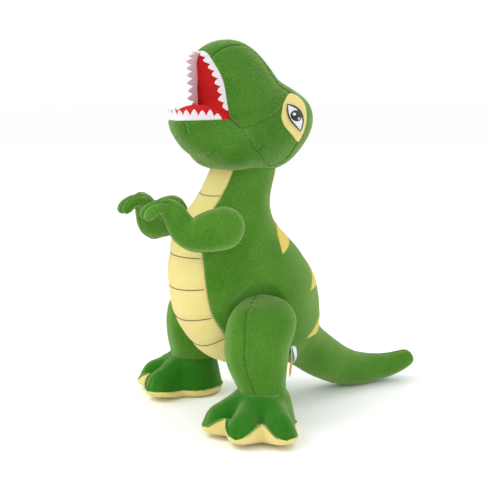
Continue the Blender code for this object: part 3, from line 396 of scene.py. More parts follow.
def clothMaterial(name, group, given, bump, reach, finish):
    # a Principled shader fed by a cloth group's colour and height, with the finish's own values
    material = bpy.data.materials.new(name)
    material.use_nodes = True
    tree = material.node_tree
    shader = tree.nodes["Principled BSDF"]
    cloth = tree.nodes.new("ShaderNodeGroup")
    cloth.node_tree = group
    feed(tree, cloth, given)
    relief = tree.nodes.new("ShaderNodeBump")
    feed(tree, relief, {"Strength": bump, "Distance": reach, "Height": cloth.outputs["Height"]})
    feed(tree, shader, {"Base Color": cloth.outputs["Colour"], "Normal": relief.outputs["Normal"]})
    if "Roughness" in cloth.outputs:
        feed(tree, shader, {"Roughness": cloth.outputs["Roughness"]})
    feed(tree, shader, finish)
    return material


def plush(name, colour, brushedAndTipLight, shaded, sheen, patches=0.5, tufts=0.75, bump=0.6):
    # the lighter colour serves brushed patches and painted light on tuft tips; the shaded colour serves random mottle
    # and painted shade in the pits
    given = {"Colour": colour, "BrushedAndTipLight": brushedAndTipLight, "Shaded": shaded, "Patches": patches, "Tufts": tufts}
    finish = {"Specular IOR Level": 0.12, "Sheen Weight": sheen["weight"], "Sheen Roughness": sheen["roughness"],
              "Sheen Tint": sheen["tint"]}
    return clothMaterial(name, pileGroup, given, bump, 0.0009, finish)


def makeFibreGroup():
    # pressed or woven fibres: fine crossed streaks over a soft mottle, read from the piece's own cut, with painted
    # shade where the streaks lie low
    group, given, result = groupWith(
        "fibreCloth",
        [("Colour", "NodeSocketColor", (0.8, 0.8, 0.8, 1)), ("Shaded", "NodeSocketColor", (0.5, 0.5, 0.5, 1)),
         ("Scale", "NodeSocketFloat", 1500.0), ("Stretch", "NodeSocketFloat", 0.2)],
        [("Colour", "NodeSocketColor"), ("Height", "NodeSocketFloat")])
    place = group.nodes.new("ShaderNodeUVMap")
    place.uv_map = "cut"
    size = group.nodes.new("ShaderNodeCombineXYZ")
    scale = given.outputs["Scale"]
    feed(group, size, {0: scale, 1: mathNode(group, "MULTIPLY", scale, given.outputs["Stretch"])})
    streaks = []
    for turn in (0.0, math.pi / 2):
        lay = group.nodes.new("ShaderNodeMapping")
        feed(group, lay, {"Vector": place.outputs["UV"], "Rotation": (0, 0, turn)})
        squeeze = group.nodes.new("ShaderNodeVectorMath")
        squeeze.operation = "MULTIPLY"
        feed(group, squeeze, {0: lay.outputs["Vector"], 1: size.outputs["Vector"]})
        streaks.append(noiseNode(group, squeeze.outputs["Vector"], 1.0, 2.0))
    height = mathNode(group, "MAXIMUM", *streaks)
    # painted shade: where the streaks lie low the colour turns halfway to the shaded colour
    colour = mixColour(group, rangeNode(group, height, 0.35, 0.65, 0.5, 0.0), given.outputs["Colour"],
                       given.outputs["Shaded"])
    feed(group, result, {"Colour": colour, "Height": height})
    return group


fibreGroup = makeFibreGroup()


def fibreCloth(name, colour, shaded, roughness, scale=1500.0, stretch=0.2, sheen=0.2, bump=0.3):
    given = {"Colour": colour, "Shaded": shaded, "Scale": scale, "Stretch": stretch}
    finish = {"Roughness": roughness, "Specular IOR Level": 0.25, "Sheen Weight": sheen}
    return clothMaterial(name, fibreGroup, given, bump, 0.0003, finish)


greenSheen = {"weight": 1.0, "roughness": 0.28, "tint": (0.74, 0.95, 0.42, 1)}
creamSheen = {"weight": 0.35, "roughness": 0.45, "tint": (1.0, 0.95, 0.75, 1)}
redSheen = {"weight": 0.08, "roughness": 0.45, "tint": (1.0, 0.45, 0.40, 1)}
finishes = {
    "green": plush("greenPlush", srgb(78, 134, 36), srgb(112, 164, 64), srgb(46, 102, 22), greenSheen),
    # the head's plush is the body's green made darker: painted shade over the whole head
    "headGreenPaintedShade": plush("headGreenPaintedShadePlush", srgb(68, 124, 32), srgb(102, 154, 58), srgb(40, 92, 20), greenSheen),
    "deepGreen": plush("deepGreenPlush", srgb(74, 132, 34), srgb(108, 160, 62), srgb(46, 104, 22), greenSheen),
    "footGreen": plush("footGreenPlush", srgb(42, 118, 22), srgb(74, 142, 42), srgb(24, 92, 14), greenSheen),
    "cream": plush("creamPlush", srgb(236, 220, 138), srgb(242, 230, 164), srgb(218, 196, 106), creamSheen, 0.4, 0.3),
    "yellow": plush("yellowPlush", srgb(232, 208, 96), srgb(236, 216, 122), srgb(212, 180, 66), creamSheen, 0.4, 0.3),
    "red": plush("redPlush", srgb(204, 24, 28), srgb(216, 40, 42), srgb(160, 10, 16), redSheen, 0.3, 0.25),
    "felt": fibreCloth("whiteFelt", srgb(230, 224, 229), srgb(198, 190, 196), 0.95, 1200.0, 0.3),
    "darkThread": fibreCloth("greyThread", srgb(74, 74, 62), srgb(40, 40, 34), 0.6),
    "greenThread": fibreCloth("greenThread", srgb(62, 112, 34), srgb(36, 82, 20), 0.7),
    "eyeBlack": fibreCloth("blackStitching", srgb(22, 22, 24), srgb(6, 6, 8), 0.45, 2600.0, 0.08, 0.3, 0.6),
    "eyeWhite": fibreCloth("whiteStitching", srgb(232, 230, 232), srgb(190, 188, 192), 0.5, 2600.0, 0.08, 0.3, 0.6),
    "satin": fibreCloth("satinRibbon", srgb(244, 244, 248), srgb(210, 210, 218), 0.35, 2500.0, 0.1, 0.1),
    "gold": fibreCloth("goldRibbon", srgb(228, 178, 52), srgb(186, 132, 24), 0.4, 2500.0, 0.1, 0.1),
}
print("finishes ready:", len(finishes))


# Body, and the tail that grows out of it

body = {
    "crotchZ": 0.050, "neckZ": 0.257, "neckY": 0.021, "neckRadius": 0.0335, "halfWidth": 0.051,
    "bellyReach": 0.062, "rumpReach": 0.112, "nape": 0.0015, "lowest": 0.004, "middle": (0, 0.022, 0.14),
    "uneven": {"height": 0.0007, "length": 0.055, "seed": 4}, "fill": 0.8,
    "neckBend": ((0.02, 0.222), (0.02, 0.258)),
    # the flat under a thigh: its middle and half sizes in Y and Z, how far out it lies, its rise past its edge
    "thigh": {"y": 0.004, "z": 0.080, "long": 0.043, "tall": 0.055, "out": 0.0435, "rise": 0.020},
    # height share, front reach, back reach, half width
    "profile": (
        (0.000, -0.226, 0.278, 0.04), (0.011, 0.030, 0.560, 0.46), (0.052, 0.320, 0.780, 0.72),
        (0.133, 0.610, 0.920, 0.88), (0.241, 0.850, 1.000, 0.96), (0.350, 0.965, 0.985, 1.00),
        (0.464, 1.000, 0.905, 1.02), (0.578, 0.985, 0.745, 0.99), (0.687, 0.880, 0.535, 0.93),
        (0.777, 0.690, 0.428, 0.83), (0.865, 0.430, 0.415, 0.72)),
    # height and half angle of the belly panel, degrees round the body
    "belly": ((0.050, 62), (0.092, 51.5), (0.111, 45), (0.141, 42), (0.172, 40.5), (0.190, 37.5), (0.224, 35.5),
              (0.233, 37), (0.250, 41), (0.275, 43)),
}
tail = {
    "route": (
        (0.000, 0.072, 0.078, 0.0290), (0.000, 0.104, 0.0545, 0.0262), (0.000, 0.124, 0.0398, 0.0250),
        (0.000, 0.144, 0.0278, 0.0228), (0.002, 0.166, 0.0205, 0.0202), (0.005, 0.189, 0.0174, 0.0170),
        (0.009, 0.210, 0.0176, 0.0147), (0.013, 0.227, 0.0212, 0.0126), (0.016, 0.2370, 0.0248, 0.0106),
        (0.0172, 0.2420, 0.0268, 0.0078), (0.0178, 0.2446, 0.0280, 0.0010)),
    "fillet": 0.022, "rows": 190, "columns": 112, "lowest": 0.0006, "rootBend": ((0.086, 0.06), (0.118, 0.06)),
    "uneven": {"height": 0.0006, "length": 0.05, "seed": 9}, "fill": 0.75,
}


def bodySurface(u, phi):
    # rings up the body: rounded ovals |x/a|^p + |y/b|^p = 1 between the front and back profiles,
    # p falling from 2.2 to a round neck's 2
    height, neckY, neck = body["neckZ"] - body["crotchZ"], body["neckY"], body["neckRadius"]
    rows = [(body["crotchZ"] + f * height, -a * body["bellyReach"], b * body["rumpReach"], w * body["halfWidth"], 2.2)
            for f, a, b, w in body["profile"]]
    rows.append((body["neckZ"], neckY - neck, neckY + neck + body["nape"], neck, 2.0))
    neck *= 0.94  # inside the head
    rows.append((body["neckZ"] + 0.022, neckY - neck, neckY + neck, neck, 2.0))
    fine = np.linspace(0, 1, 600)
    table = softened(evenCurve(rows, fine), 260)
    z, front, back, half, power = (column[:, None] for column in readAt(u, fine, table))
    turn, side = np.cos(phi), np.sin(phi)
    x = half * np.sign(side) * np.abs(side) ** (2 / power)
    y = (front + back) / 2 - (back - front) / 2 * np.sign(turn) * np.abs(turn) ** (2 / power)
    return np.stack([x, y, np.broadcast_to(z, x.shape)], axis=-1)


def tubeSurface(route, s, phi, lateral, squash=1.0):
    # rings carried along a route of x, y, z and radius; squash is their height over their width
    fine = np.linspace(0, 1, 500)
    table = softened(evenCurve(route, fine), 120)
    data = np.stack(readAt(s, fine, table), axis=-1)
    slope = np.gradient(table[:, :3], axis=0)
    ahead = unit(np.stack(readAt(s, fine, slope), axis=-1))
    side = unit(lateral - (ahead @ lateral)[:, None] * ahead)
    top = np.cross(ahead, side)
    return data[:, None, :3] + data[:, 3][:, None, None] * (
        np.cos(phi)[..., None] * side[:, None] + squash * np.sin(phi)[..., None] * top[:, None])


def fillet(grid, normal, otherGap, size):
    # raises the cloth by (size - gap)^2 / 4 size where another form comes closer than size
    near = np.clip(size - np.abs(otherGap), 0, None)
    return grid + normal * (near**2 / (4 * size))[..., None]


def gapToTube(points, route):
    # distance from points to the surface of a round tube along a route
    best = np.full(points.shape[:2], 1.0)
    for x, y, z, r in evenCurve(route, np.linspace(0, 1, 120)):
        best = np.minimum(best, np.linalg.norm(points - [x, y, z], axis=-1) - r)
    return best


def thighDent(grid):
    # the flank lies flat under each thigh and swells again past the thigh's edge
    thigh = body["thigh"]
    x, y, z = np.moveaxis(grid, -1, 0)
    reach = np.sqrt(((y - thigh["y"]) / thigh["long"]) ** 2 + ((z - thigh["z"]) / thigh["tall"]) ** 2)
    limit = thigh["out"] + thigh["rise"] * smoothStep((reach - 0.92) / 0.75)
    over = np.clip(np.abs(x) - limit, 0, None)
    return np.stack([np.sign(x) * (np.abs(x) - over * 0.92), y, z], axis=-1)


def bodyShape(u, phi):
    # the body with its dents, swelling into the tail's root
    grid = thighDent(bodySurface(u, phi))
    outward = unit(grid - body["middle"])
    normal = gridNormals(grid, outward)
    gap = gapToTube(grid, tail["route"])
    inside = np.where(gap < 0, np.abs(gap) * 2.2, gap)
    return fillet(grid, normal, inside, tail["fillet"]), outward


def bodyHeights(u):
    # height of the body's rows, up to the neck
    return bodySurface(u, np.zeros((1, 1)))[:, 0, 2]


def makeBody():
    u = np.linspace(body["lowest"], 1, 190)
    z = np.interp(u, np.linspace(0, 1, 400), bodyHeights(np.linspace(0, 1, 400)))
    half = np.radians(smoothCurve(*np.array(body["belly"]).T, z))[:, None]
    spans = {"bellyPanel": (-half, half, 64, "cream", ("belly_panel", "body_stuffing")),
             "bodySideLeft": (half, math.pi + 0 * half, 120, "green", ("body_side_left",)),
             "bodySideRight": (math.pi + 0 * half, 2 * math.pi - half, 120, "green", ("body_side_right",))}
    for name, (start, end, columns, finish, nodes) in spans.items():
        phi = start + (end - start) * np.linspace(0, 1, columns + 1)[None, :]
        grid, outward = bodyShape(u, phi)
        grid = uneven(grid, gridNormals(grid, outward), body["uneven"])
        edges = {"bellyPanel": ("left", "right"), "bodySideLeft": ("left",), "bodySideRight": ("right",)}[name]
        if finish == "cream":
            # the cloth is pulled in along each sewn line by depth x exp(-(distance / width)^2)
            dip = belly["depth"] * np.exp(-(bellyLines(z, phi) / belly["dipWidth"]) ** 2)
            grid = grid - gridNormals(grid, outward) * dip[..., None]
        piece = panel(name, grid, outward, finishes[finish], edges, seed=len(name))
        blendAcross(piece, "root", "head", *body["neckBend"])
        declare(nodes)


belly = {
    # middle height of each sewn line over the belly, and its rise at the curve's half angle
    "seams": ((0.2325, 0.0015), (0.1728, 0.0000), (0.1385, 0.0035), (0.1055, 0.0062), (0.0755, 0.0115)),
    "curveAngle": math.radians(45), "depth": 0.0011, "dipWidth": 0.0035, "margin": 0.035,
    "thread": 0.00042, "threadSink": 0.00095,
}


def bellyLines(z, phi):
    # distance up or down to the nearest sewn line, each a parabola: middle + rise x (phi / curveAngle)^2
    across = phi / belly["curveAngle"]
    heights = np.broadcast_to(z[:, None], phi.shape)
    return np.min([np.abs(heights - (middle + rise * across**2)) for middle, rise in belly["seams"]], axis=0)


def makeBellyThreads():
    # each point of a thread lies on a small patch of the body's own shape
    paths = []
    u = np.linspace(body["lowest"], 1, 500)
    for middle, rise in belly["seams"]:
        half = np.radians(smoothCurve(*np.array(body["belly"]).T, middle + rise))
        phi = np.linspace(-1, 1, 60) * (half - belly["margin"])
        line = []
        for share, angle in zip(np.interp(middle + rise * (phi / belly["curveAngle"]) ** 2, bodyHeights(u), u), phi):
            patch, outward = bodyShape(share + np.array([-0.002, 0, 0.002]), angle + np.array([[-0.02, 0, 0.02]]))
            normal = gridNormals(patch, outward)[1, 1]
            line.append(uneven(patch[1, 1], normal, body["uneven"]) - normal * belly["threadSink"])
        paths.append(np.array(line))
    piece = threadPiece("bellyStitching", paths, belly["thread"], finishes["darkThread"])
    blendAcross(piece, "root", "head", *body["neckBend"])


# heights of the upper and lower edge on the back and of the tips, degrees from the back to a tip,
# and how late the upper edge falls
stripes = (((0.201, 0.1897, 0.1720), 66.5, 5.0), ((0.165, 0.1330, 0.1275), 49.5, 1.6),
           ((0.105, 0.0805, 0.0760), 51.0, 1.6))


def makeStripes():
    # upper edge tip + (top - tip)(1 - share^late), lower edge tip + (bottom - tip)(1 - share^1.4)
    fineU = np.linspace(body["lowest"], 1, 400)
    heights = bodyHeights(fineU)
    shape = dict(seamShape, roll=0.0012, width=0.0016, cloth=0.0009, pucker=0.0001)
    for number, ((top, bottom, tip), reach, late) in enumerate(stripes, 1):
        across = np.linspace(-1, 1, 121)[None, :]
        level = np.linspace(0, 1, 25)[:, None]
        share = np.abs(across)
        upper = tip + (top - tip) * (1 - share**late) + 0.0004
        lower = tip + (bottom - tip) * (1 - share**1.4) - 0.0004
        height = lower + (upper - lower) * level
        phi = math.pi + across * math.radians(reach) + 0 * level
        grid = surfaceAt(np.interp(height, heights, fineU), phi)
        outward = unit(grid - body["middle"])
        normal = gridNormals(grid, outward)
        grid = uneven(grid, normal, body["uneven"]) + normal * 0.0007  # lifted just clear of the cover
        piece = panel("backStripe%d" % number, grid, outward, finishes["yellow"], ("top", "bottom"), number, shape)
        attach(piece, "root")
        declare(["back_stripe_%d" % number])


def surfaceAt(rows, phi):
    # the body's shape at any mixture of heights and angles, read from a fine table of it
    fineU, finePhi = np.linspace(body["lowest"], 1, 240), np.linspace(0, 2 * math.pi, 361)
    table, _ = bodyShape(fineU, np.broadcast_to(finePhi[None, :], (240, 361)))
    i = np.clip((rows - fineU[0]) / (fineU[1] - fineU[0]), 0, 238.999)
    j = np.clip(phi / (finePhi[1] - finePhi[0]), 0, 359.999)
    i0, j0 = i.astype(int), j.astype(int)
    a, b = (i - i0)[..., None], (j - j0)[..., None]
    return ((table[i0, j0] * (1 - a) + table[i0 + 1, j0] * a) * (1 - b)
            + (table[i0, j0 + 1] * (1 - a) + table[i0 + 1, j0 + 1] * a) * b)


def gapToBody(points):
    # distance to the nearest of many points on the rump
    fineU, finePhi = np.linspace(body["lowest"], 1, 120), np.linspace(0, 2 * math.pi, 160, endpoint=False)
    table = thighDent(bodySurface(fineU, np.broadcast_to(finePhi[None, :], (120, 160)))).reshape(-1, 3)
    near = table[(table[:, 1] > 0.03) & (table[:, 2] < 0.16)]
    return np.array([np.linalg.norm(row[:, None] - near[None], axis=-1).min(axis=1) for row in points])


def makeTail():
    # rings closer together at the tip; the underside is pressed flat where it rests
    phi = np.linspace(-math.pi / 2, 1.5 * math.pi, tail["columns"] + 1)
    s = np.linspace(0, 1, tail["rows"]) ** 0.96
    rings = tubeSurface(tail["route"], s, np.broadcast_to(phi[None, :], (len(s), len(phi))), np.array([1.0, 0, 0]))
    outward = unit(rings - rings.mean(axis=1, keepdims=True))
    rings = fillet(rings, outward, gapToBody(rings), tail["fillet"])
    rings[..., 2] = np.maximum(rings[..., 2], tail["lowest"])
    rings = uneven(rings, outward, tail["uneven"])
    half = tail["columns"] // 2
    for name, first, nodes in (("tailSideLeft", 0, ("tail_side_left", "tail_stuffing")),
                               ("tailSideRight", half, ("tail_side_right",))):
        span = slice(first, first + half + 1)
        piece = panel(name, rings[:, span], outward[:, span], finishes["green"], ("left", "right"), 3)
        blendAcross(piece, "root", "tail", *tail["rootBend"])
        declare(nodes)


makeBody()
makeBellyThreads()
makeStripes()
makeTail()
print("body and tail ready")


# Head: sections turned about the line through the mouth corners

head = {
    "mouthHalf": 0.036, "upperLip": 281.0, "lipBow": 4.2, "corner": math.radians(0.05), "fill": 0.8,
    "uneven": {"height": 0.0006, "length": 0.05, "seed": 12},
    # degrees from the lower lip, reach from the mouth line, swell past the mouth's half width, squareness
    "profile": (
        (0, 0.0465, -0.002, 2.2), (14, 0.0458, -0.001, 2.2), (30, 0.0438, 0.001, 2.2), (50, 0.0427, 0.005, 2.3),
        (70, 0.0432, 0.012, 2.6), (85, 0.0500, 0.018, 2.9), (100, 0.0540, 0.022, 3.1), (120, 0.0610, 0.023, 3.0),
        (140, 0.0840, 0.022, 2.6), (155, 0.1000, 0.020, 2.3), (168, 0.1105, 0.018, 2.2), (180, 0.1165, 0.016, 2.2),
        (188, 0.1130, 0.014, 2.2), (196, 0.0985, 0.012, 2.2), (205, 0.0845, 0.010, 2.2), (220, 0.0812, 0.006, 2.2),
        (235, 0.0815, 0.003, 2.2), (250, 0.0820, 0.000, 2.2), (262, 0.0795, -0.002, 2.2),
        (272, 0.0750, -0.003, 2.2), (281, 0.0690, -0.004, 2.2)),
    # degrees from the lower lip and the centre strip's half width, degrees round the section
    "strip": ((0, 30), (120, 32), (133, 32.5), (143, 35), (156, 41), (168, 41.5), (179, 41), (188, 38), (196, 34),
              (205, 33), (217, 30), (230, 23), (242, 17), (257, 24), (281, 31)),
    # share of the way from the mouth corner to the strip, and the angle of the seam there
    "cheekSeam": ((0.0, 121), (0.27, 118), (0.44, 121), (1.0, 133)),
    "snoutSeam": ((0.0, 110), (0.12, 147), (0.32, 178), (0.50, 189), (0.68, 195), (1.0, 199)),
}


def headProfile(theta):
    # reach, swell and squareness at theta, softened between the chosen rows
    rows = np.array(head["profile"])
    fine = np.linspace(0, head["upperLip"], 563)
    return readAt(theta, fine, softened(smoothCurve(rows[:, 0], rows[:, 1:], fine), 60))


def headSurface(theta, around, inset=0.0):
    # theta turns a section about the mouth line; around runs 0 to pi over it, left corner to right corner.
    # A section is |x/half|^p + |r/reach|^p = 1, swelling to half + swell at its crown
    reach, swell, power = headProfile(theta)
    rise = np.abs(np.sin(around)) ** (2 / power)
    across = np.sign(np.cos(around)) * np.abs(np.cos(around)) ** (2 / power)
    x = (head["mouthHalf"] - inset + swell * (1 - (1 - rise) ** 2.6)) * across
    r = (reach - inset) * rise
    angle = np.radians(theta)
    return np.stack([x, mouthLine[1] - np.cos(angle) * r, mouthLine[2] - np.sin(angle) * r], axis=-1)


def headOutward(grid):
    # away from the mouth line, leaning out a little to the sides
    return unit(grid - mouthLine * [0, 1, 1] - grid * [0.2, 0, 0])


def lipUp(theta, side):
    # away from the jaw it belongs to, square to a lip's plane
    angle = math.radians(theta)
    return side * np.array([0.0, math.sin(angle), -math.cos(angle)])


def lipOut(theta):
    angle = math.radians(theta)
    return np.array([0.0, -math.cos(angle), -math.sin(angle)])


def stripEdge(theta):
    # angle round the section where the side panels meet the centre strip
    return math.pi / 2 - np.radians(smoothCurve(*np.array(head["strip"]).T, theta))


def bendAtJaw(piece):
    # points at these two angles below the lower lip, 40 mm from the mouth line, handed on to blendAcross, which only
    # bakes the piece in place
    start, end = ((mouthLine + 0.040 * lipOut(theta))[1:] for theta in (95, 40))
    blendAcross(piece, "head", "jaw", start, end)


def dented(grid, normal, start, end, depth, width, fading):
    # along a short line the cloth dips by depth x exp(-(gap / width)^2), less near the ends if fading
    way = end - start
    t = np.clip(((grid - start) @ way) / (way @ way), 0, 1)
    gap = np.linalg.norm(grid - (start + t[..., None] * way), axis=-1)
    share = np.minimum(1.0, 4 * np.minimum(t, 1 - t) + 0.25) if fading else 1.0
    return grid - normal * (depth * share * np.exp(-(gap / width) ** 2))[..., None]


def headPoint(theta, degrees):
    return headSurface(np.array([float(theta)]), np.array([math.radians(degrees)]))[0]


def headPatch(name, theta, around, edges, nodes, seed, darts=()):
    grid = headSurface(theta, around)
    outward = headOutward(grid)
    grid = uneven(grid, gridNormals(grid, outward), head["uneven"])
    normal = gridNormals(grid, outward)
    for start, end in darts:
        grid = dented(grid, normal, start, end, 0.0016, 0.0016, True)
    # the head panels wear the darker green: painted shade
    piece = panel(name, grid, outward, finishes["headGreenPaintedShade"], edges, seed)
    declare(nodes)
    return piece


# sewn darts on the left side, from one surface point to another
jawDarts = ((headPoint(5, 62), headPoint(22, 64)), (headPoint(65, 72), headPoint(63, 47)))
cheekDarts = ((headPoint(120, 27), headPoint(139, 21.5)),)


def lipTheta(around):
    # the upper lip's edge: its sides bow back by lipBow x exp(-((degrees from the corner - 24) / 20)^2)
    fromCorner = np.degrees(np.minimum(np.abs(around), np.abs(math.pi - around)))
    return head["upperLip"] - head["lipBow"] * np.exp(-((fromCorner - 24) / 20) ** 2)


def makeHeadPanels():
    # on the side panels share runs from the mouth corner to the centre strip, closer together at the corner
    corner = head["corner"]
    share = np.linspace(0, 1, 97)[None, :] ** 1.5
    t = np.linspace(0, 1, 90)[:, None]
    low = smoothCurve(*np.array(head["cheekSeam"]).T, share)
    high = smoothCurve(*np.array(head["snoutSeam"]).T, share)
    lip = lipTheta(corner + (stripEdge(np.full(1, head["upperLip"])) - corner) * share)
    jawShare = np.linspace(0, 1, 110)[None, :] ** 1.5
    reach = np.clip(jawShare * (math.pi / 2) / (math.pi / 2 - math.radians(32)), 0, 1)
    seam = smoothCurve(*np.array(head["cheekSeam"]).T, reach)
    for side, label in bothSides:
        tag = label.lower()
        for name, node, start, end, darts, seed in (("cheek", "cheek_", low, high, cheekDarts, 5),
                                                    ("snoutSide", "snout_side_", high, lip, (), 6),
                                                    ("jawCover", "jaw_cover_", 1.6, seam, jawDarts, 7)):
            jaw = name == "jawCover"
            theta = start + (end - start) * (np.linspace(0, 1, 110)[:, None] if jaw else t)
            edge = math.pi / 2 + 0 * theta if jaw else stripEdge(theta)
            around = corner + (edge - corner) * (jawShare if jaw else share)
            nodes = (node + tag,) + (("throat_cover", "jaw_stuffing") if jaw and side > 0 else ())
            edges = ("bottom", "top") if jaw else ("top", "bottom", "right")
            piece = headPatch(name + label, theta, around if side > 0 else math.pi - around, edges, nodes, seed,
                              [[point * mirror(side) for point in dart] for dart in darts])
            if jaw:
                bendAtJaw(piece)
            else:
                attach(piece, "head")
    across = np.linspace(0, 1, 61)[None, :]
    edge = stripEdge(np.full((1, 1), head["upperLip"]))
    lip = lipTheta(edge + (math.pi - 2 * edge) * across)
    theta = 128 + (lip - 128) * np.linspace(0, 1, 230)[:, None]
    edge = stripEdge(theta)
    around = edge + (math.pi - 2 * edge) * across
    piece = headPatch("headTopGusset", theta, around, ("left", "right", "top"),
                      ("head_top_gusset", "head_stuffing"), 8)
    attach(piece, "head")


makeHeadPanels()
print("head covers ready")


mouth = {
    "recess": 0.0022, "inset": 0.0016, "tongueHeight": 0.0175, "palateDepth": 0.0085,
    "tongueUneven": {"height": 0.0004, "length": 0.02, "seed": 31}, "tongueFill": 0.7, "palateFill": 0.4,
    "upperTeeth": 18, "lowerTeeth": 14, "felt": 0.0011, "toothHeight": 0.0112, "toothLean": 0.20,
    # lowest point between two teeth, seam below the lip, bare lip beside the corner, shorter teeth beside that
    "gumHeight": 0.0024, "sewnBelow": 0.0022, "bareCorner": 0.0085, "shortOver": 0.014,
}


def liningGrid(theta, lift):
    # lines across the mouth from the corner line out to the lip; lift gives each point's height off the plane
    rows, columns = 60, 72
    share = np.linspace(-1, 1, columns)
    around = math.pi / 2 + np.sign(share) * (1 - (1 - np.abs(share)) ** 1.5) * (math.pi / 2 - head["corner"])
    lip = lipTheta(around) if theta > 180 else np.full(columns, float(theta))
    outer = headSurface(lip, around)
    inner = headSurface(lip, around, mouth["inset"])
    fromCorner = np.linalg.norm((outer - mouthLine) * [0, 1, 1], axis=1)
    edge = outer + (inner - outer) * smoothStep(fromCorner / 0.012)[:, None]
    fold = edge * [1, 0, 0] + mouthLine * [0, 1, 1]
    t = np.linspace(0, 1, rows)[:, None, None]
    flat = fold + (edge - fold) * t
    return flat, lift(np.abs(flat[..., 0] / head["mouthHalf"]), t[..., 0])


def tongueLift(aside, t):
    # a cushion: (1 - aside^2.6)^0.6 (1 - t^2.8)^0.7, rising steeply from the fold at the mouth's back
    return mouth["tongueHeight"] * np.clip(1 - aside**2.6, 0, 1) ** 0.6 \
        * np.clip(1 - t**2.8, 0, 1) ** 0.7 * smoothStep(t / 0.55 + 0.12)


def palateLift(aside, t):
    # a trough: (1 - aside^2)(1 - t^3), falling steeply from the fold
    return -mouth["palateDepth"] * np.clip(1 - aside**2, 0, 1) * np.clip(1 - t**3, 0, 1) * smoothStep(t / 0.3)


def makeLining(name, theta, side, lift, node, fill):
    up = lipUp(theta, side)
    grid, height = liningGrid(theta, lift)
    grid = grid + up * (height - mouth["recess"])[..., None]
    if lift is tongueLift:
        grid = uneven(grid, up, mouth["tongueUneven"])
    piece = panel(name, grid, np.broadcast_to(up, grid.shape), finishes["red"], ())
    declare([node])
    return piece


def makeTeeth(name, theta, side, count, node):
    # a felt strip sewn along the lip: its free edge is a row of rounded points that lean out a little
    around = np.linspace(math.radians(5), math.pi - math.radians(5), 900)
    lip = lipTheta(around) if theta > 180 else np.full(900, float(theta))
    line = headSurface(lip, around, 0.0014)
    run = lengths(line)
    start = run[np.argmax(np.linalg.norm((line - mouthLine) * [0, 1, 1], axis=1) > mouth["bareCorner"])]
    perTooth, rows = 16, 9
    s = np.linspace(start, run[-1] - start, count * perTooth + 1)
    foot = np.stack(readAt(s, run, line), axis=-1)
    ahead = unit(np.gradient(foot, axis=0))
    up = lipUp(theta, side)
    away = unit(np.cross(ahead, up))
    if np.sum(away * (foot - foot.mean(axis=0))) < 0:
        away = -away
    phase = (np.arange(len(s)) % perTooth) / perTooth
    number = np.arange(len(s)) // perTooth
    size = 1 + 0.10 * np.sin(number * 2.4)
    ends = smoothStep(np.minimum(s - s[0], s[-1] - s) / mouth["shortOver"])
    point = np.clip(1 - np.abs(2 * phase - 1) ** 1.35, 0, 1) ** 0.80 * size
    gum = mouth["gumHeight"]
    height = (gum + (mouth["toothHeight"] - gum) * (0.30 + 0.70 * point)) * (0.60 + 0.40 * ends)
    t = np.linspace(0, 1, rows)[:, None]
    rise = height[None] * t
    lean = mouth["toothLean"] * rise**1.5 / math.sqrt(mouth["toothHeight"]) + 0.0004 * wobble(foot, 0.02, 21)[None] * t
    grid = foot[None] + up * (rise - mouth["sewnBelow"])[..., None] + away[None] * lean[..., None]
    faces = facedOut(grid, gridFaces(*grid.shape[:2]), np.broadcast_to(away[None], grid.shape))
    uv = np.stack([np.broadcast_to(s[None], rise.shape), rise], axis=-1)
    piece = meshPiece(name, grid, faces, finishes["felt"], uv)
    clothWall(piece, mouth["felt"])
    edge = piece.modifiers.new("soft edge", "BEVEL")
    edge.width = 0.00025
    edge.segments = 2
    edge.limit_method = "ANGLE"
    declare([node])
    return piece


upperLip, lowerLip = (head["upperLip"], 1), (0.0, -1)
bendAtJaw(makeLining("tongueLining", *lowerLip, tongueLift, "tongue_lining", mouth["tongueFill"]))
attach(makeLining("palateLining", *upperLip, palateLift, "palate_lining", mouth["palateFill"]), "head")
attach(makeTeeth("upperTeeth", *upperLip, mouth["upperTeeth"], "upper_teeth"), "head")
bendAtJaw(makeTeeth("lowerTeeth", *lowerLip, mouth["lowerTeeth"], "lower_teeth"))
print("mouth ready")


# Eyes: outlines in degrees from the lower lip and degrees round the section

eye = {
    "patch": ((198.5, 50.5), (195.5, 56.5), (191, 56), (186, 52.0), (180, 49.5), (174, 49.2), (168.5, 49.2),
              (162.5, 47.5), (165.5, 38), (170, 30.5), (175.5, 26.6), (182, 25.7), (189, 29), (195, 37)),
    "upperLid": ((191.8, 34.9), (188.6, 38.6), (184, 41.7), (179, 43.2), (174.4, 43.4), (170.2, 42.9)),
    "lowerLid": ((191.8, 34.9), (187.8, 31.6), (183, 30.3), (178.2, 31.6), (174.2, 35.6), (170.2, 42.9)),
    "pupil": (181.5, 36.6), "pupilSize": (4.3, 5.0),
    "glints": ((182.8, 34.7, 1.15, 1.5), (179.3, 38.2, 0.75, 1.0)),
    "lift": {"patch": 0.0008, "white": 0.0021, "line": 0.0026, "pupil": 0.0027, "glint": 0.0032},
}


def eyeFrame(flat, side, lift):
    # places pairs of degrees on the head, raised by lift along the surface's normal
    theta, around = flat[..., 0], np.radians(flat[..., 1])
    step = 0.35
    here = headSurface(theta, around)
    normal = np.cross(headSurface(theta + step, around) - here, headSurface(theta, around + 0.01) - here)
    normal = unit(normal)
    normal = np.where(np.sum(normal * headOutward(here), axis=-1, keepdims=True) < 0, -normal, normal)
    place = uneven(here, normal, head["uneven"]) + normal * np.asarray(lift)[..., None]
    return place * mirror(side), normal * mirror(side)


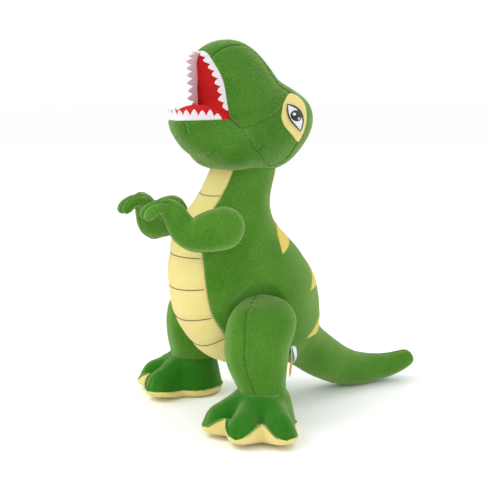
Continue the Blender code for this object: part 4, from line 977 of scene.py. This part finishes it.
def eyeDisc(name, outline, centre, side, lift, finish, dome=0.0006, rings=14, edge=0.0006):
    # rings from the outline to its middle, slightly domed, with the rim turned down to the cloth below
    shares = np.linspace(1, 0.02, rings)[:, None, None]
    flat = np.asarray(centre) + (outline[None] - centre) * shares
    k = shares[..., 0]
    height = lift + dome * (1 - k**2) + 0 * flat[..., 0]
    rim = eyeFrame(outline[None], side, np.full((1, len(outline)), lift - edge - 0.0006))[0]
    grid, normal = eyeFrame(flat, side, height)
    points = np.concatenate([rim, grid])
    out = np.concatenate([normal[:1], normal])
    rows, columns = points.shape[:2]
    faces = facedOut(points, gridFaces(rows, columns, True), out)
    last = [(rows - 1) * columns + j for j in range(columns)]
    turned = np.sum(np.cross(points[-1, 1] - points[-1, 0], points[-1, 2] - points[-1, 1]) * out[-1, 0]) > 0
    tilt = np.concatenate([outline[None], flat]) * [0.0018, 0.0011]
    piece = meshPiece(name, points, faces.tolist() + [tuple(last if turned else last[::-1])], finishes[finish], tilt)
    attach(piece, "head")
    return piece


def eyeLine(name, route, widths, side):
    # satin stitching along a route: a low arch whose width changes from end to end
    t = np.linspace(0, 1, 70)
    flat, width = evenCurve(route, t), evenCurve(widths, t)
    across = np.linspace(-1, 1, 9)[None, :]
    centre, normal = eyeFrame(flat, side, eye["lift"]["line"])
    ahead = unit(np.gradient(centre, axis=0))
    aside = unit(np.cross(normal, ahead))
    crown = 0.0005 * (1 - across**2)
    grid = centre[:, None] + aside[:, None] * (across * width[:, None] / 2)[..., None]
    grid = grid + normal[:, None] * (crown - 0.0004)[..., None]
    uv = np.stack([np.broadcast_to(lengths(centre)[:, None], (70, 9)), across * width[:, None] / 2], axis=-1)
    faces = facedOut(grid, gridFaces(70, 9), np.broadcast_to(normal[:, None], grid.shape))
    piece = meshPiece(name, grid, faces, finishes["eyeBlack"], uv)
    clothWall(piece, 0.0008)
    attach(piece, "head")
    return piece


def makeEye(side, label):
    tag, lift = label.lower(), eye["lift"]
    patch = eyeDisc("eyePatch" + label, closedCurve(eye["patch"], 96), (181, 41), side, lift["patch"], "cream",
                    0.0004, 18, 0.0008)
    declare(["eye_patch_" + tag])
    upper, lower = (evenCurve(eye[lid], np.linspace(0, 1, 40)) for lid in ("upperLid", "lowerLid"))
    outline = np.concatenate([upper, lower[::-1][1:-1]])
    white = eyeDisc("eyeWhite" + label, outline, (181, 37), side, lift["white"], "eyeWhite")
    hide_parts("eye_embroidery_" + tag)
    t = np.linspace(0, 2 * math.pi, 48, endpoint=False)
    centre, size = np.array(eye["pupil"]), np.array(eye["pupilSize"])
    pupil = centre + np.stack([np.cos(t), np.sin(t)], axis=-1) * size
    pieces = [white, eyeDisc("pupil" + label, pupil, centre, side, lift["pupil"], "eyeBlack"),
              eyeLine("upperLid" + label, eye["upperLid"], (0.0010, 0.0026, 0.0032, 0.0028, 0.0020, 0.0009), side),
              eyeLine("lowerLid" + label, eye["lowerLid"], (0.0010, 0.0018, 0.0020, 0.0020, 0.0017, 0.0009), side)]
    for number, (theta, degrees, wide, tall) in enumerate(eye["glints"]):
        spot = np.array([theta, degrees]) + np.stack([np.cos(t[::2]) * wide, np.sin(t[::2]) * tall], axis=-1)
        pieces.append(eyeDisc("glint%s%d" % (label, number + 1), spot, (theta, degrees), side, lift["glint"],
                              "eyeWhite", 0.0003, 6))


for side, label in bothSides:
    makeEye(side, label)
print("eyes ready")


# Legs and feet

leg = {
    "hip": 0.0438, "halfWidth": 0.024, "length": 0.0385, "top": 0.132, "ankleX": 0.075, "ankleZ": 0.040,
    "ankle": 0.0240, "seamTurn": 44.0, "fill": 0.85,
    # share of the height from the ankle, shift back, half width, half length
    "profile": ((0.00, 0.000, 0.92, 0.62), (0.10, -0.001, 0.98, 0.67), (0.26, -0.001, 1.00, 0.80),
                (0.44, 0.000, 1.00, 0.91), (0.60, 0.003, 0.99, 0.98), (0.75, 0.006, 0.90, 1.00),
                (0.87, 0.009, 0.72, 0.86), (0.95, 0.012, 0.48, 0.60), (1.00, 0.014, 0.05, 0.06)),
}
foot = {
    "toe": 0.0640, "toeHalf": 0.0178, "toeRoot": 0.0146, "spread": 45.0, "splay": 34.0, "heel": 0.0330,
    "toeHeight": 0.0325, "soleEdge": 0.0075, "webRise": 0.0140, "toeLift": 0.0042, "ankleZ": 0.0435,
    "round": 0.0105, "columns": 216, "fill": 0.85,
}


def legSurface(u, phi):
    rows = np.array([(leg["ankleZ"] + f * (leg["top"] - leg["ankleZ"]), y, w * leg["halfWidth"], d * leg["length"])
                     for f, y, w, d in leg["profile"]])
    rows[0, 2:] = leg["ankle"]
    fine = np.linspace(0, 1, 400)
    z, shift, half, length = (each[:, None] for each in readAt(u, fine, softened(evenCurve(rows, fine), 90)))
    # a section is |x/half|^p + |y/length|^p = 1, and leans out from the hip to the ankle
    power = 2.0 + 0.35 * smoothStep(u * 3)[:, None]
    c, s = np.cos(phi), np.sin(phi)
    x = half * np.sign(c) * np.abs(c) ** (2 / power)
    y = length * np.sign(s) * np.abs(s) ** (2 / power)
    lean = leg["hip"] - 0.003 + half
    centre = lean + (leg["ankleX"] - lean) * (1 - smoothStep(u * 2.5))[:, None]
    return np.stack([centre + x, shift + y, np.broadcast_to(z, x.shape)], axis=-1)


def makeLeg(side, label):
    tag, half = label.lower(), 72
    u = np.linspace(0, 1, 120)
    phi = np.linspace(-math.pi / 2, 1.5 * math.pi, 145)[None, :] + math.radians(leg["seamTurn"]) + np.zeros((120, 1))
    rings = legSurface(u, phi)
    middle = rings.mean(axis=1, keepdims=True)
    outward = unit(rings - middle + [0, 0, 0.3] * smoothStep((u - 0.8) / 0.2)[:, None, None])
    rings = rings + gridNormals(rings, outward) * (0.0008 * wobble(rings, 0.045, 14))[..., None]
    bend = ("leg_" + tag, "foot_" + tag, (0, 0.062), (0, 0.040))
    shape = dict(seamShape, roll=0.0014, width=0.004, pucker=0.0005, pitch=0.010)
    for name, first, nodes in (("legOuter", 0, ("leg_outer_" + tag, "leg_stuffing_" + tag)),
                               ("legInner", half, ("leg_inner_" + tag,))):
        grid, out = (each[:, first:first + half + 1] * mirror(side) for each in (rings, outward))
        piece = panel(name + label, grid, out, finishes["deepGreen"], ("left", "right", "bottom"), 15, shape)
        blendAcross(piece, *bend)
        declare(nodes)
    seam, normal = (each[4:-30, 0] * mirror(side) for each in (rings, outward))
    paths = stitchPaths(seam, normal, 0.0036, 0.62, 0.0009)
    piece = threadPiece("legStitching" + label, paths, 0.00028, finishes["greenThread"], 6)
    blendAcross(piece, *bend)


def toeTurns():
    return np.radians([-foot["spread"], 0.0, foot["spread"]])


def footOutline(angle):
    # farthest of the heel's circle and three round-ended toes, blended by a high power mean
    reach = [np.full_like(angle, foot["heel"])]
    for toe in toeTurns():
        turn = (angle - toe + math.pi) % (2 * math.pi) - math.pi
        centre = foot["toe"] - foot["toeHalf"]
        c, s = np.cos(turn), np.sin(turn)
        tip = centre * c + np.sqrt(np.maximum(foot["toeHalf"] ** 2 - (centre * s) ** 2, 0))
        flank = foot["toeRoot"] / np.maximum(np.abs(s), 1e-6)
        inCircle = (np.abs(centre * s) < foot["toeHalf"]) & (c > 0)
        r = np.where(inCircle, tip, np.minimum(flank, centre))
        reach.append(np.where(c > 0.2, np.minimum(r, foot["toe"]), 0.0))
    return np.sum(np.array(reach) ** 24.0, axis=0) ** (1 / 24.0)


def webShare(angle):
    # a cosine wave: 1 in the webs between two toes, 0 at the toes' middles, a quarter at the heel
    spread = math.radians(foot["spread"])
    between = 0.5 - 0.5 * np.cos(2 * math.pi * angle / spread)
    outside = smoothStep((np.abs(angle) - spread) / 0.5) * 0.10
    return np.where(np.abs(angle) < spread, between**1.3, outside)


def footTop(angle, r, outline):
    # each toe is a rounded ridge and the heel a dome; the highest wins, and creases stay between them
    height = np.zeros_like(r)
    for toe in toeTurns():
        turn = angle - toe
        along, aside = r * np.cos(turn), np.abs(r * np.sin(turn))
        crown = foot["toeHeight"] + (foot["ankleZ"] - foot["toeHeight"]) * smoothStep((0.052 - along) / 0.032)
        width = foot["toeHalf"] + 0.0006 + 0.012 * smoothStep((0.036 - along) / 0.026)
        beyond = np.clip(along - (foot["toe"] - foot["toeHalf"]), 0, None) / foot["toeHalf"]
        body = np.clip(1 - (aside / width) ** 2.4 - beyond**2.4, 0, 1) ** 0.5
        height = height + (crown * body * (along > 0)) ** 8
    middle = 0.016
    behind = np.clip(r - middle, 0, None) / (foot["heel"] - middle)
    heel = (foot["ankleZ"] + 0.002) * np.sqrt(np.clip(1 - behind**2.2, 0, 1))
    return (height + heel**8) ** (1 / 8)


def makeFoot(side, label):
    tag = label.lower()
    angle = np.linspace(-math.pi, math.pi, foot["columns"], endpoint=False)[None, :]
    ring = footOutline(angle)[0]
    outline = softened(np.concatenate([ring[-8:], ring, ring[:8]]), 3)[8:-8][None, :]
    lift = foot["toeLift"] * smoothStep((outline - 0.036) / 0.026)
    edge = foot["soleEdge"] + foot["webRise"] * webShare(angle) + lift
    start = leg["ankle"] - 0.007
    t = (1 - (1 - np.linspace(0, 1, 48)) ** 1.6)[:, None]
    r = start + t * (outline - start)
    z = np.maximum(footTop(angle + 0 * r, r, outline), edge * smoothStep((t - 0.40) / 0.50))
    z = edge + (z - edge) * np.sqrt(np.clip(1 - t**8, 0, 1))
    z = np.minimum(z, foot["ankleZ"])

    def place(r, z):
        turn = math.radians(foot["splay"]) + angle
        return np.stack([leg["ankleX"] + r * np.sin(turn), -r * np.cos(turn), z + 0 * r], axis=-1)

    upper = place(r, z)
    for _ in range(3):
        upper[1:-1] = (upper[:-2] + 2 * upper[1:-1] + upper[2:]) / 4
        upper = (np.roll(upper, 1, axis=1) + 2 * upper + np.roll(upper, -1, axis=1)) / 4
    outward = unit(upper - [leg["ankleX"], 0, -0.01])
    normal = gridNormals(upper, outward, True)
    upper = upper + normal * (0.0004 * wobble(upper, 0.03, 17))[..., None]
    for toe in toeTurns():
        turn = toe + math.radians(foot["splay"])
        way = np.array([math.sin(turn), -math.cos(turn), 0])
        tip = np.array([leg["ankleX"], 0, 0.012]) + way * foot["toe"]
        # the short closing seam at the toe's tip
        upper = dented(upper, normal, tip, tip - way * 0.007 + [0, 0, 0.013], 0.0010, 0.0012, False)
    faces = facedOut(upper, gridFaces(*upper.shape[:2], True), normal)
    faces = faces if side > 0 else faces[:, ::-1]
    piece = meshPiece("footUpper" + label, upper * mirror(side), faces, finishes["footGreen"])
    clothWall(piece, seamShape["cloth"])
    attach(piece, "foot_" + tag)
    declare(("foot_upper_" + tag, "foot_stuffing_" + tag))
    rim = upper[-1]
    rimR = np.hypot(rim[:, 0] - leg["ankleX"], rim[:, 1])[None, :]
    rimZ = rim[:, 2][None, :]
    # the sole's side is a quarter of an oval from the seam down to the floor, tucked in under the upper's rim
    fall = np.linspace(0, math.pi / 2, 12)[:, None]
    under = foot["round"] * np.clip(rimR / 0.06, 0.4, 1)
    sideR = rimR - under * (1 - np.cos(fall)) + 0.0010 * np.sin(2 * fall)
    sideZ = (rimZ - 0.0002 - lift) * (1 - np.sin(fall)) + 0.0004 + lift
    inward = np.array([0.9, 0.75, 0.55, 0.1])[:, None]
    flatZ = 0.0003 + lift * np.clip((inward - 0.55) / 0.45, 0, 1) ** 2
    sole = place(np.concatenate([rimR - 0.0020, rimR - 0.0008, sideR, sideR[-1:] * inward]),
                 np.concatenate([rimZ - 0.0022, rimZ - 0.0010, sideZ, flatZ]))
    below = np.zeros_like(sole) - [0, 0, 1.0]
    below[:10] = unit(sole[:10] - [leg["ankleX"], 0, 0.03])
    rows, columns = sole.shape[:2]
    faces = facedOut(sole, gridFaces(rows, columns, True), below)
    last = np.arange(columns) + (rows - 1) * columns
    ring = sole[-1]
    down = np.cross(ring[1] - ring[0], ring[2] - ring[1])[2] < 0
    faces = faces.tolist() + [tuple(last if down else last[::-1])]
    if side < 0:
        faces = [face[::-1] for face in faces]
    piece = meshPiece("footSole" + label, sole * mirror(side), faces, finishes["cream"])
    clothWall(piece, 0.0005)
    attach(piece, "foot_" + tag)
    declare(["foot_sole_" + tag])


for side, label in bothSides:
    makeLeg(side, label)
    makeFoot(side, label)
print("legs and feet ready")


# Arms: upper arm flat on the shoulder, forearm raised, two fingers hanging from the hand

arm = {
    "route": (
        (0.0500, -0.0175, 0.2060, 0.0040), (0.0530, -0.0215, 0.2060, 0.0125), (0.0565, -0.0290, 0.2060, 0.0178),
        (0.0565, -0.0390, 0.2050, 0.0182), (0.0520, -0.0505, 0.2022, 0.0168), (0.0455, -0.0605, 0.2005, 0.0150),
        (0.0390, -0.0682, 0.2045, 0.0126), (0.0350, -0.0730, 0.2130, 0.0112), (0.0315, -0.0768, 0.2212, 0.0104),
        (0.0290, -0.0830, 0.2255, 0.0090), (0.0275, -0.0878, 0.2262, 0.0070), (0.0268, -0.0905, 0.2260, 0.0020)),
    "depth": 1.14, "across": (0.93, -0.37, 0.0),
    # each finger's route from the hand to its tip
    "fingers": (((0.0338, -0.0815, 0.2250, 0.0058), (0.0333, -0.0895, 0.2266, 0.0056),
                 (0.0324, -0.0970, 0.2242, 0.0054), (0.0317, -0.1018, 0.2192, 0.0049),
                 (0.0314, -0.1034, 0.2156, 0.0022)),
                ((0.0230, -0.0815, 0.2256, 0.0058), (0.0216, -0.0895, 0.2272, 0.0056),
                 (0.0204, -0.0970, 0.2248, 0.0054), (0.0197, -0.1018, 0.2198, 0.0049),
                 (0.0194, -0.1034, 0.2162, 0.0022))),
    "voxel": 0.0011, "smooth": 4, "fill": 0.85,
}


def armForms():
    lateral = np.array(arm["across"])
    phi = np.linspace(0, 2 * math.pi, 49)[:-1][None, :] + np.zeros((90, 1))
    s = np.linspace(0, 1, 90)
    upper = tubeSurface(arm["route"], s, phi, lateral, arm["depth"])
    depth = (upper - shoulderPivot) @ shoulderNormal
    limit = -0.0015 - 0.030 * smoothStep((s - 0.30) / 0.25)[:, None]
    upper = upper + np.maximum(limit - depth, 0)[..., None] * shoulderNormal
    forms = [upper]
    for route in arm["fingers"]:
        forms.append(tubeSurface(route, np.linspace(0, 1, 30), phi[:30], lateral, 1.0))
    return forms


def joined(name, forms, material):
    # overlapping closed forms become one skin: rebuilt from small cubes, then smoothed
    pieces = [closedSkin(name + "Form%d" % number, form, material) for number, form in enumerate(forms)]
    for piece in pieces[1:]:
        boolean = pieces[0].modifiers.new("join", "BOOLEAN")
        boolean.operation = "UNION"
        boolean.object = piece
    remesh = pieces[0].modifiers.new("skin", "REMESH")
    remesh.mode = "VOXEL"
    remesh.voxel_size = arm["voxel"]
    smooth = pieces[0].modifiers.new("smooth", "SMOOTH")
    smooth.iterations = arm["smooth"]
    smooth.factor = 0.5
    bpy.context.view_layer.update()
    shaped = bpy.data.meshes.new_from_object(pieces[0].evaluated_get(bpy.context.evaluated_depsgraph_get()))
    for piece in pieces:
        bpy.data.objects.remove(piece)
    shaped.shade_smooth()
    piece = bpy.data.objects.new(name, shaped)
    bpy.context.scene.collection.objects.link(piece)
    return piece


def meshArrays(mesh):
    points = np.zeros(len(mesh.vertices) * 3)
    normals = np.zeros(len(mesh.vertices) * 3)
    mesh.vertices.foreach_get("co", points)
    mesh.vertices.foreach_get("normal", normals)
    return points.reshape(-1, 3), normals.reshape(-1, 3)


def nearestOn(points, normals, line, lift):
    # moves each point of a line to the nearest point of a skin, then out by lift
    placed = []
    for point in line:
        gaps = np.linalg.norm(points - point, axis=1)
        near = np.argsort(gaps)[:6]
        weight = 1 / (gaps[near] + 1e-4)
        weight /= weight.sum()
        placed.append((points[near] * weight[:, None]).sum(axis=0) + unit(normals[near].mean(axis=0)) * lift)
    return np.array(placed)


def makeArms():
    left = joined("armSkinLeft", armForms(), finishes["green"])
    points, normals = meshArrays(left.data)
    pattern = points - [0, patternShift, 0]
    points = points + normals * (0.0005 * wobble(pattern, 0.03, 23))[:, None]
    left.data.vertices.foreach_set("co", points.ravel())
    lateral = np.array(arm["across"])
    # seam ridges along both edges of the arm and the back of each finger
    quarter = math.pi / 2
    seams = [tubeSurface(arm["route"], np.linspace(0.30, 0.97, 90), np.full((90, 1), turn), lateral, arm["depth"])
             for turn in (quarter, -quarter)]
    seams += [tubeSurface(route, np.linspace(0.05, 0.98, 40), np.full((40, 1), quarter), lateral)
              for route in arm["fingers"]]
    seams = [softened(nearestOn(pattern, normals, line[:, 0], 0.0002), 12) for line in seams]
    for side, label in bothSides:
        tag, skin = label.lower(), left
        if side < 0:
            mesh = left.data.copy()
            mesh.vertices.foreach_set("co", (points * mirror(side)).ravel())
            mesh.flip_normals()
            skin = bpy.data.objects.new("armSkinRight", mesh)
            bpy.context.scene.collection.objects.link(skin)
        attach(skin, "arm_" + tag)
        declare(["arm_" + part + tag for part in ("outer_", "inner_", "stuffing_")])
        ridge = threadPiece("armSeam" + label, [line * mirror(side) for line in seams], 0.00045,
                            finishes["greenThread"])
        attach(ridge, "arm_" + tag)


makeArms()
print("arms ready")


# Labels sewn into the left side seam

labels = {
    "height": 0.069, "angle": 111.0, "turn": 30.0, "width": 0.012, "thickness": 0.0005,
    "care": ((0.0000, 0.0015), (0.0022, 0.0008), (0.0040, -0.0040), (0.0048, -0.0105), (0.0036, -0.0152),
             (0.0016, -0.0146), (0.0012, -0.0098), (0.0010, -0.0040), (0.0000, 0.0006)),
    "size": ((0.0004, -0.0140), (0.0000, -0.0180), (-0.0006, -0.0225), (-0.0010, -0.0270), (-0.0010, -0.0315)),
}


def makeLabel(name, route, width, finish, node):
    # a ribbon whose side view is the route, out from the seam and up
    line = bodySurface(np.linspace(0.004, 1, 200), np.radians([[labels["angle"], labels["angle"] + 2]]))
    root = np.array(readAt(labels["height"], line[:, 0, 2], line[:, 0]))
    along = unit((line[70, 1] - line[70, 0]) * [1, 1, 0])
    turn = math.radians(labels["turn"])
    along = np.array([along[0] * math.cos(turn) - along[1] * math.sin(turn),
                      along[0] * math.sin(turn) + along[1] * math.cos(turn), 0.0])
    out = np.array([along[1], -along[0], 0.0])
    path = evenCurve(route, np.linspace(0, 1, 60))
    middle = root + path[:, :1] * out + path[:, 1:] * np.array([0, 0, 1.0])
    across = np.linspace(-0.5, 0.5, 13)[None, :, None]
    grid = middle[:, None] + along * across * width
    run = lengths(middle)
    grid = grid + out * (0.0004 * np.sin(across * 5) * np.sin(run * 260)[:, None, None])
    uv = np.stack([np.broadcast_to(run[:, None], (60, 13)), np.broadcast_to(across[..., 0] * width, (60, 13))], -1)
    piece = meshPiece(name, grid, facedOut(grid, gridFaces(60, 13), out), finishes[finish], uv)
    clothWall(piece, labels["thickness"])
    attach(piece, "root")
    declare([node])


makeLabel("careLabel", labels["care"], labels["width"] * 0.86, "satin", "care_label")
makeLabel("sizeLabel", labels["size"], labels["width"] * 0.85, "gold", "size_label")
print("labels ready")


# Studio

studio = {"azimuth": 59.0, "elevation": 9.6, "distance": 1.0, "target": (0.0, 0.024, 0.176), "lens": 69.43}


def addLight(name, place, aim, size, power, colour=(1, 1, 1)):
    light = bpy.data.lights.new(name, "AREA")
    light.shape = "DISK"
    light.size = size
    light.energy = power
    light.color = colour
    lamp = bpy.data.objects.new(name, light)
    bpy.context.scene.collection.objects.link(lamp)
    lamp.location = place
    way = np.array(aim) - np.array(place)
    lamp.rotation_euler = (math.acos(-way[2] / np.linalg.norm(way)), 0, math.atan2(way[1], way[0]) - math.pi / 2)
    return lamp


def makeStudio():
    scene = bpy.context.scene
    scene.view_settings.view_transform = "Standard"
    world = bpy.data.worlds.new("softStudio")
    world.use_nodes = True
    world.node_tree.nodes["Background"].inputs["Color"].default_value = (1, 1, 1, 1)
    world.node_tree.nodes["Background"].inputs["Strength"].default_value = 1.0
    scene.world = world
    mesh = bpy.data.meshes.new("floor")
    reach = 12.0
    corners = [(-reach, -reach, 0), (reach, -reach, 0), (reach, reach, 0), (-reach, reach, 0)]
    mesh.from_pydata(corners, [], [(0, 1, 2, 3)])
    floor = bpy.data.objects.new("floor", mesh)
    scene.collection.objects.link(floor)
    paint = bpy.data.materials.new("paleFloor")
    paint.use_nodes = True
    shader = paint.node_tree.nodes["Principled BSDF"]
    shader.inputs["Base Color"].default_value = (0.985, 0.985, 0.985, 1)
    shader.inputs["Roughness"].default_value = 0.9
    mesh.materials.append(paint)
    azimuth, elevation = math.radians(studio["azimuth"]), math.radians(studio["elevation"])
    toward = np.array([math.sin(azimuth) * math.cos(elevation), -math.cos(azimuth) * math.cos(elevation),
                       math.sin(elevation)])
    right = np.array([math.cos(azimuth), math.sin(azimuth), 0.0])
    target = np.array(studio["target"]) + [0, patternShift, 0]
    place = target + toward * studio["distance"]
    lens = bpy.data.cameras.new("camera")
    lens.lens = studio["lens"]
    lens.sensor_width = 36.0
    lens.clip_end = 50
    camera = bpy.data.objects.new("camera", lens)
    scene.collection.objects.link(camera)
    camera.location = place
    camera.rotation_euler = (math.pi / 2 - elevation, 0, azimuth)
    scene.camera = camera
    up = np.array([0, 0, 1.0])
    addLight("keyLight", target + toward * 0.4 - right * 1.3 + up * 1.5, target, 1.3, 17)
    addLight("backLight", target - toward * 1.2 + right * 0.9 + up * 1.3, target, 1.0, 6)
    addLight("frontFill", target + toward * 1.6 + right * 0.8 + up * 0.5, target, 1.4, 1.5)


makeStudio()

for name, node in frame["nodes"].items():
    if not node.hide_render:
        print("still showing:", name)
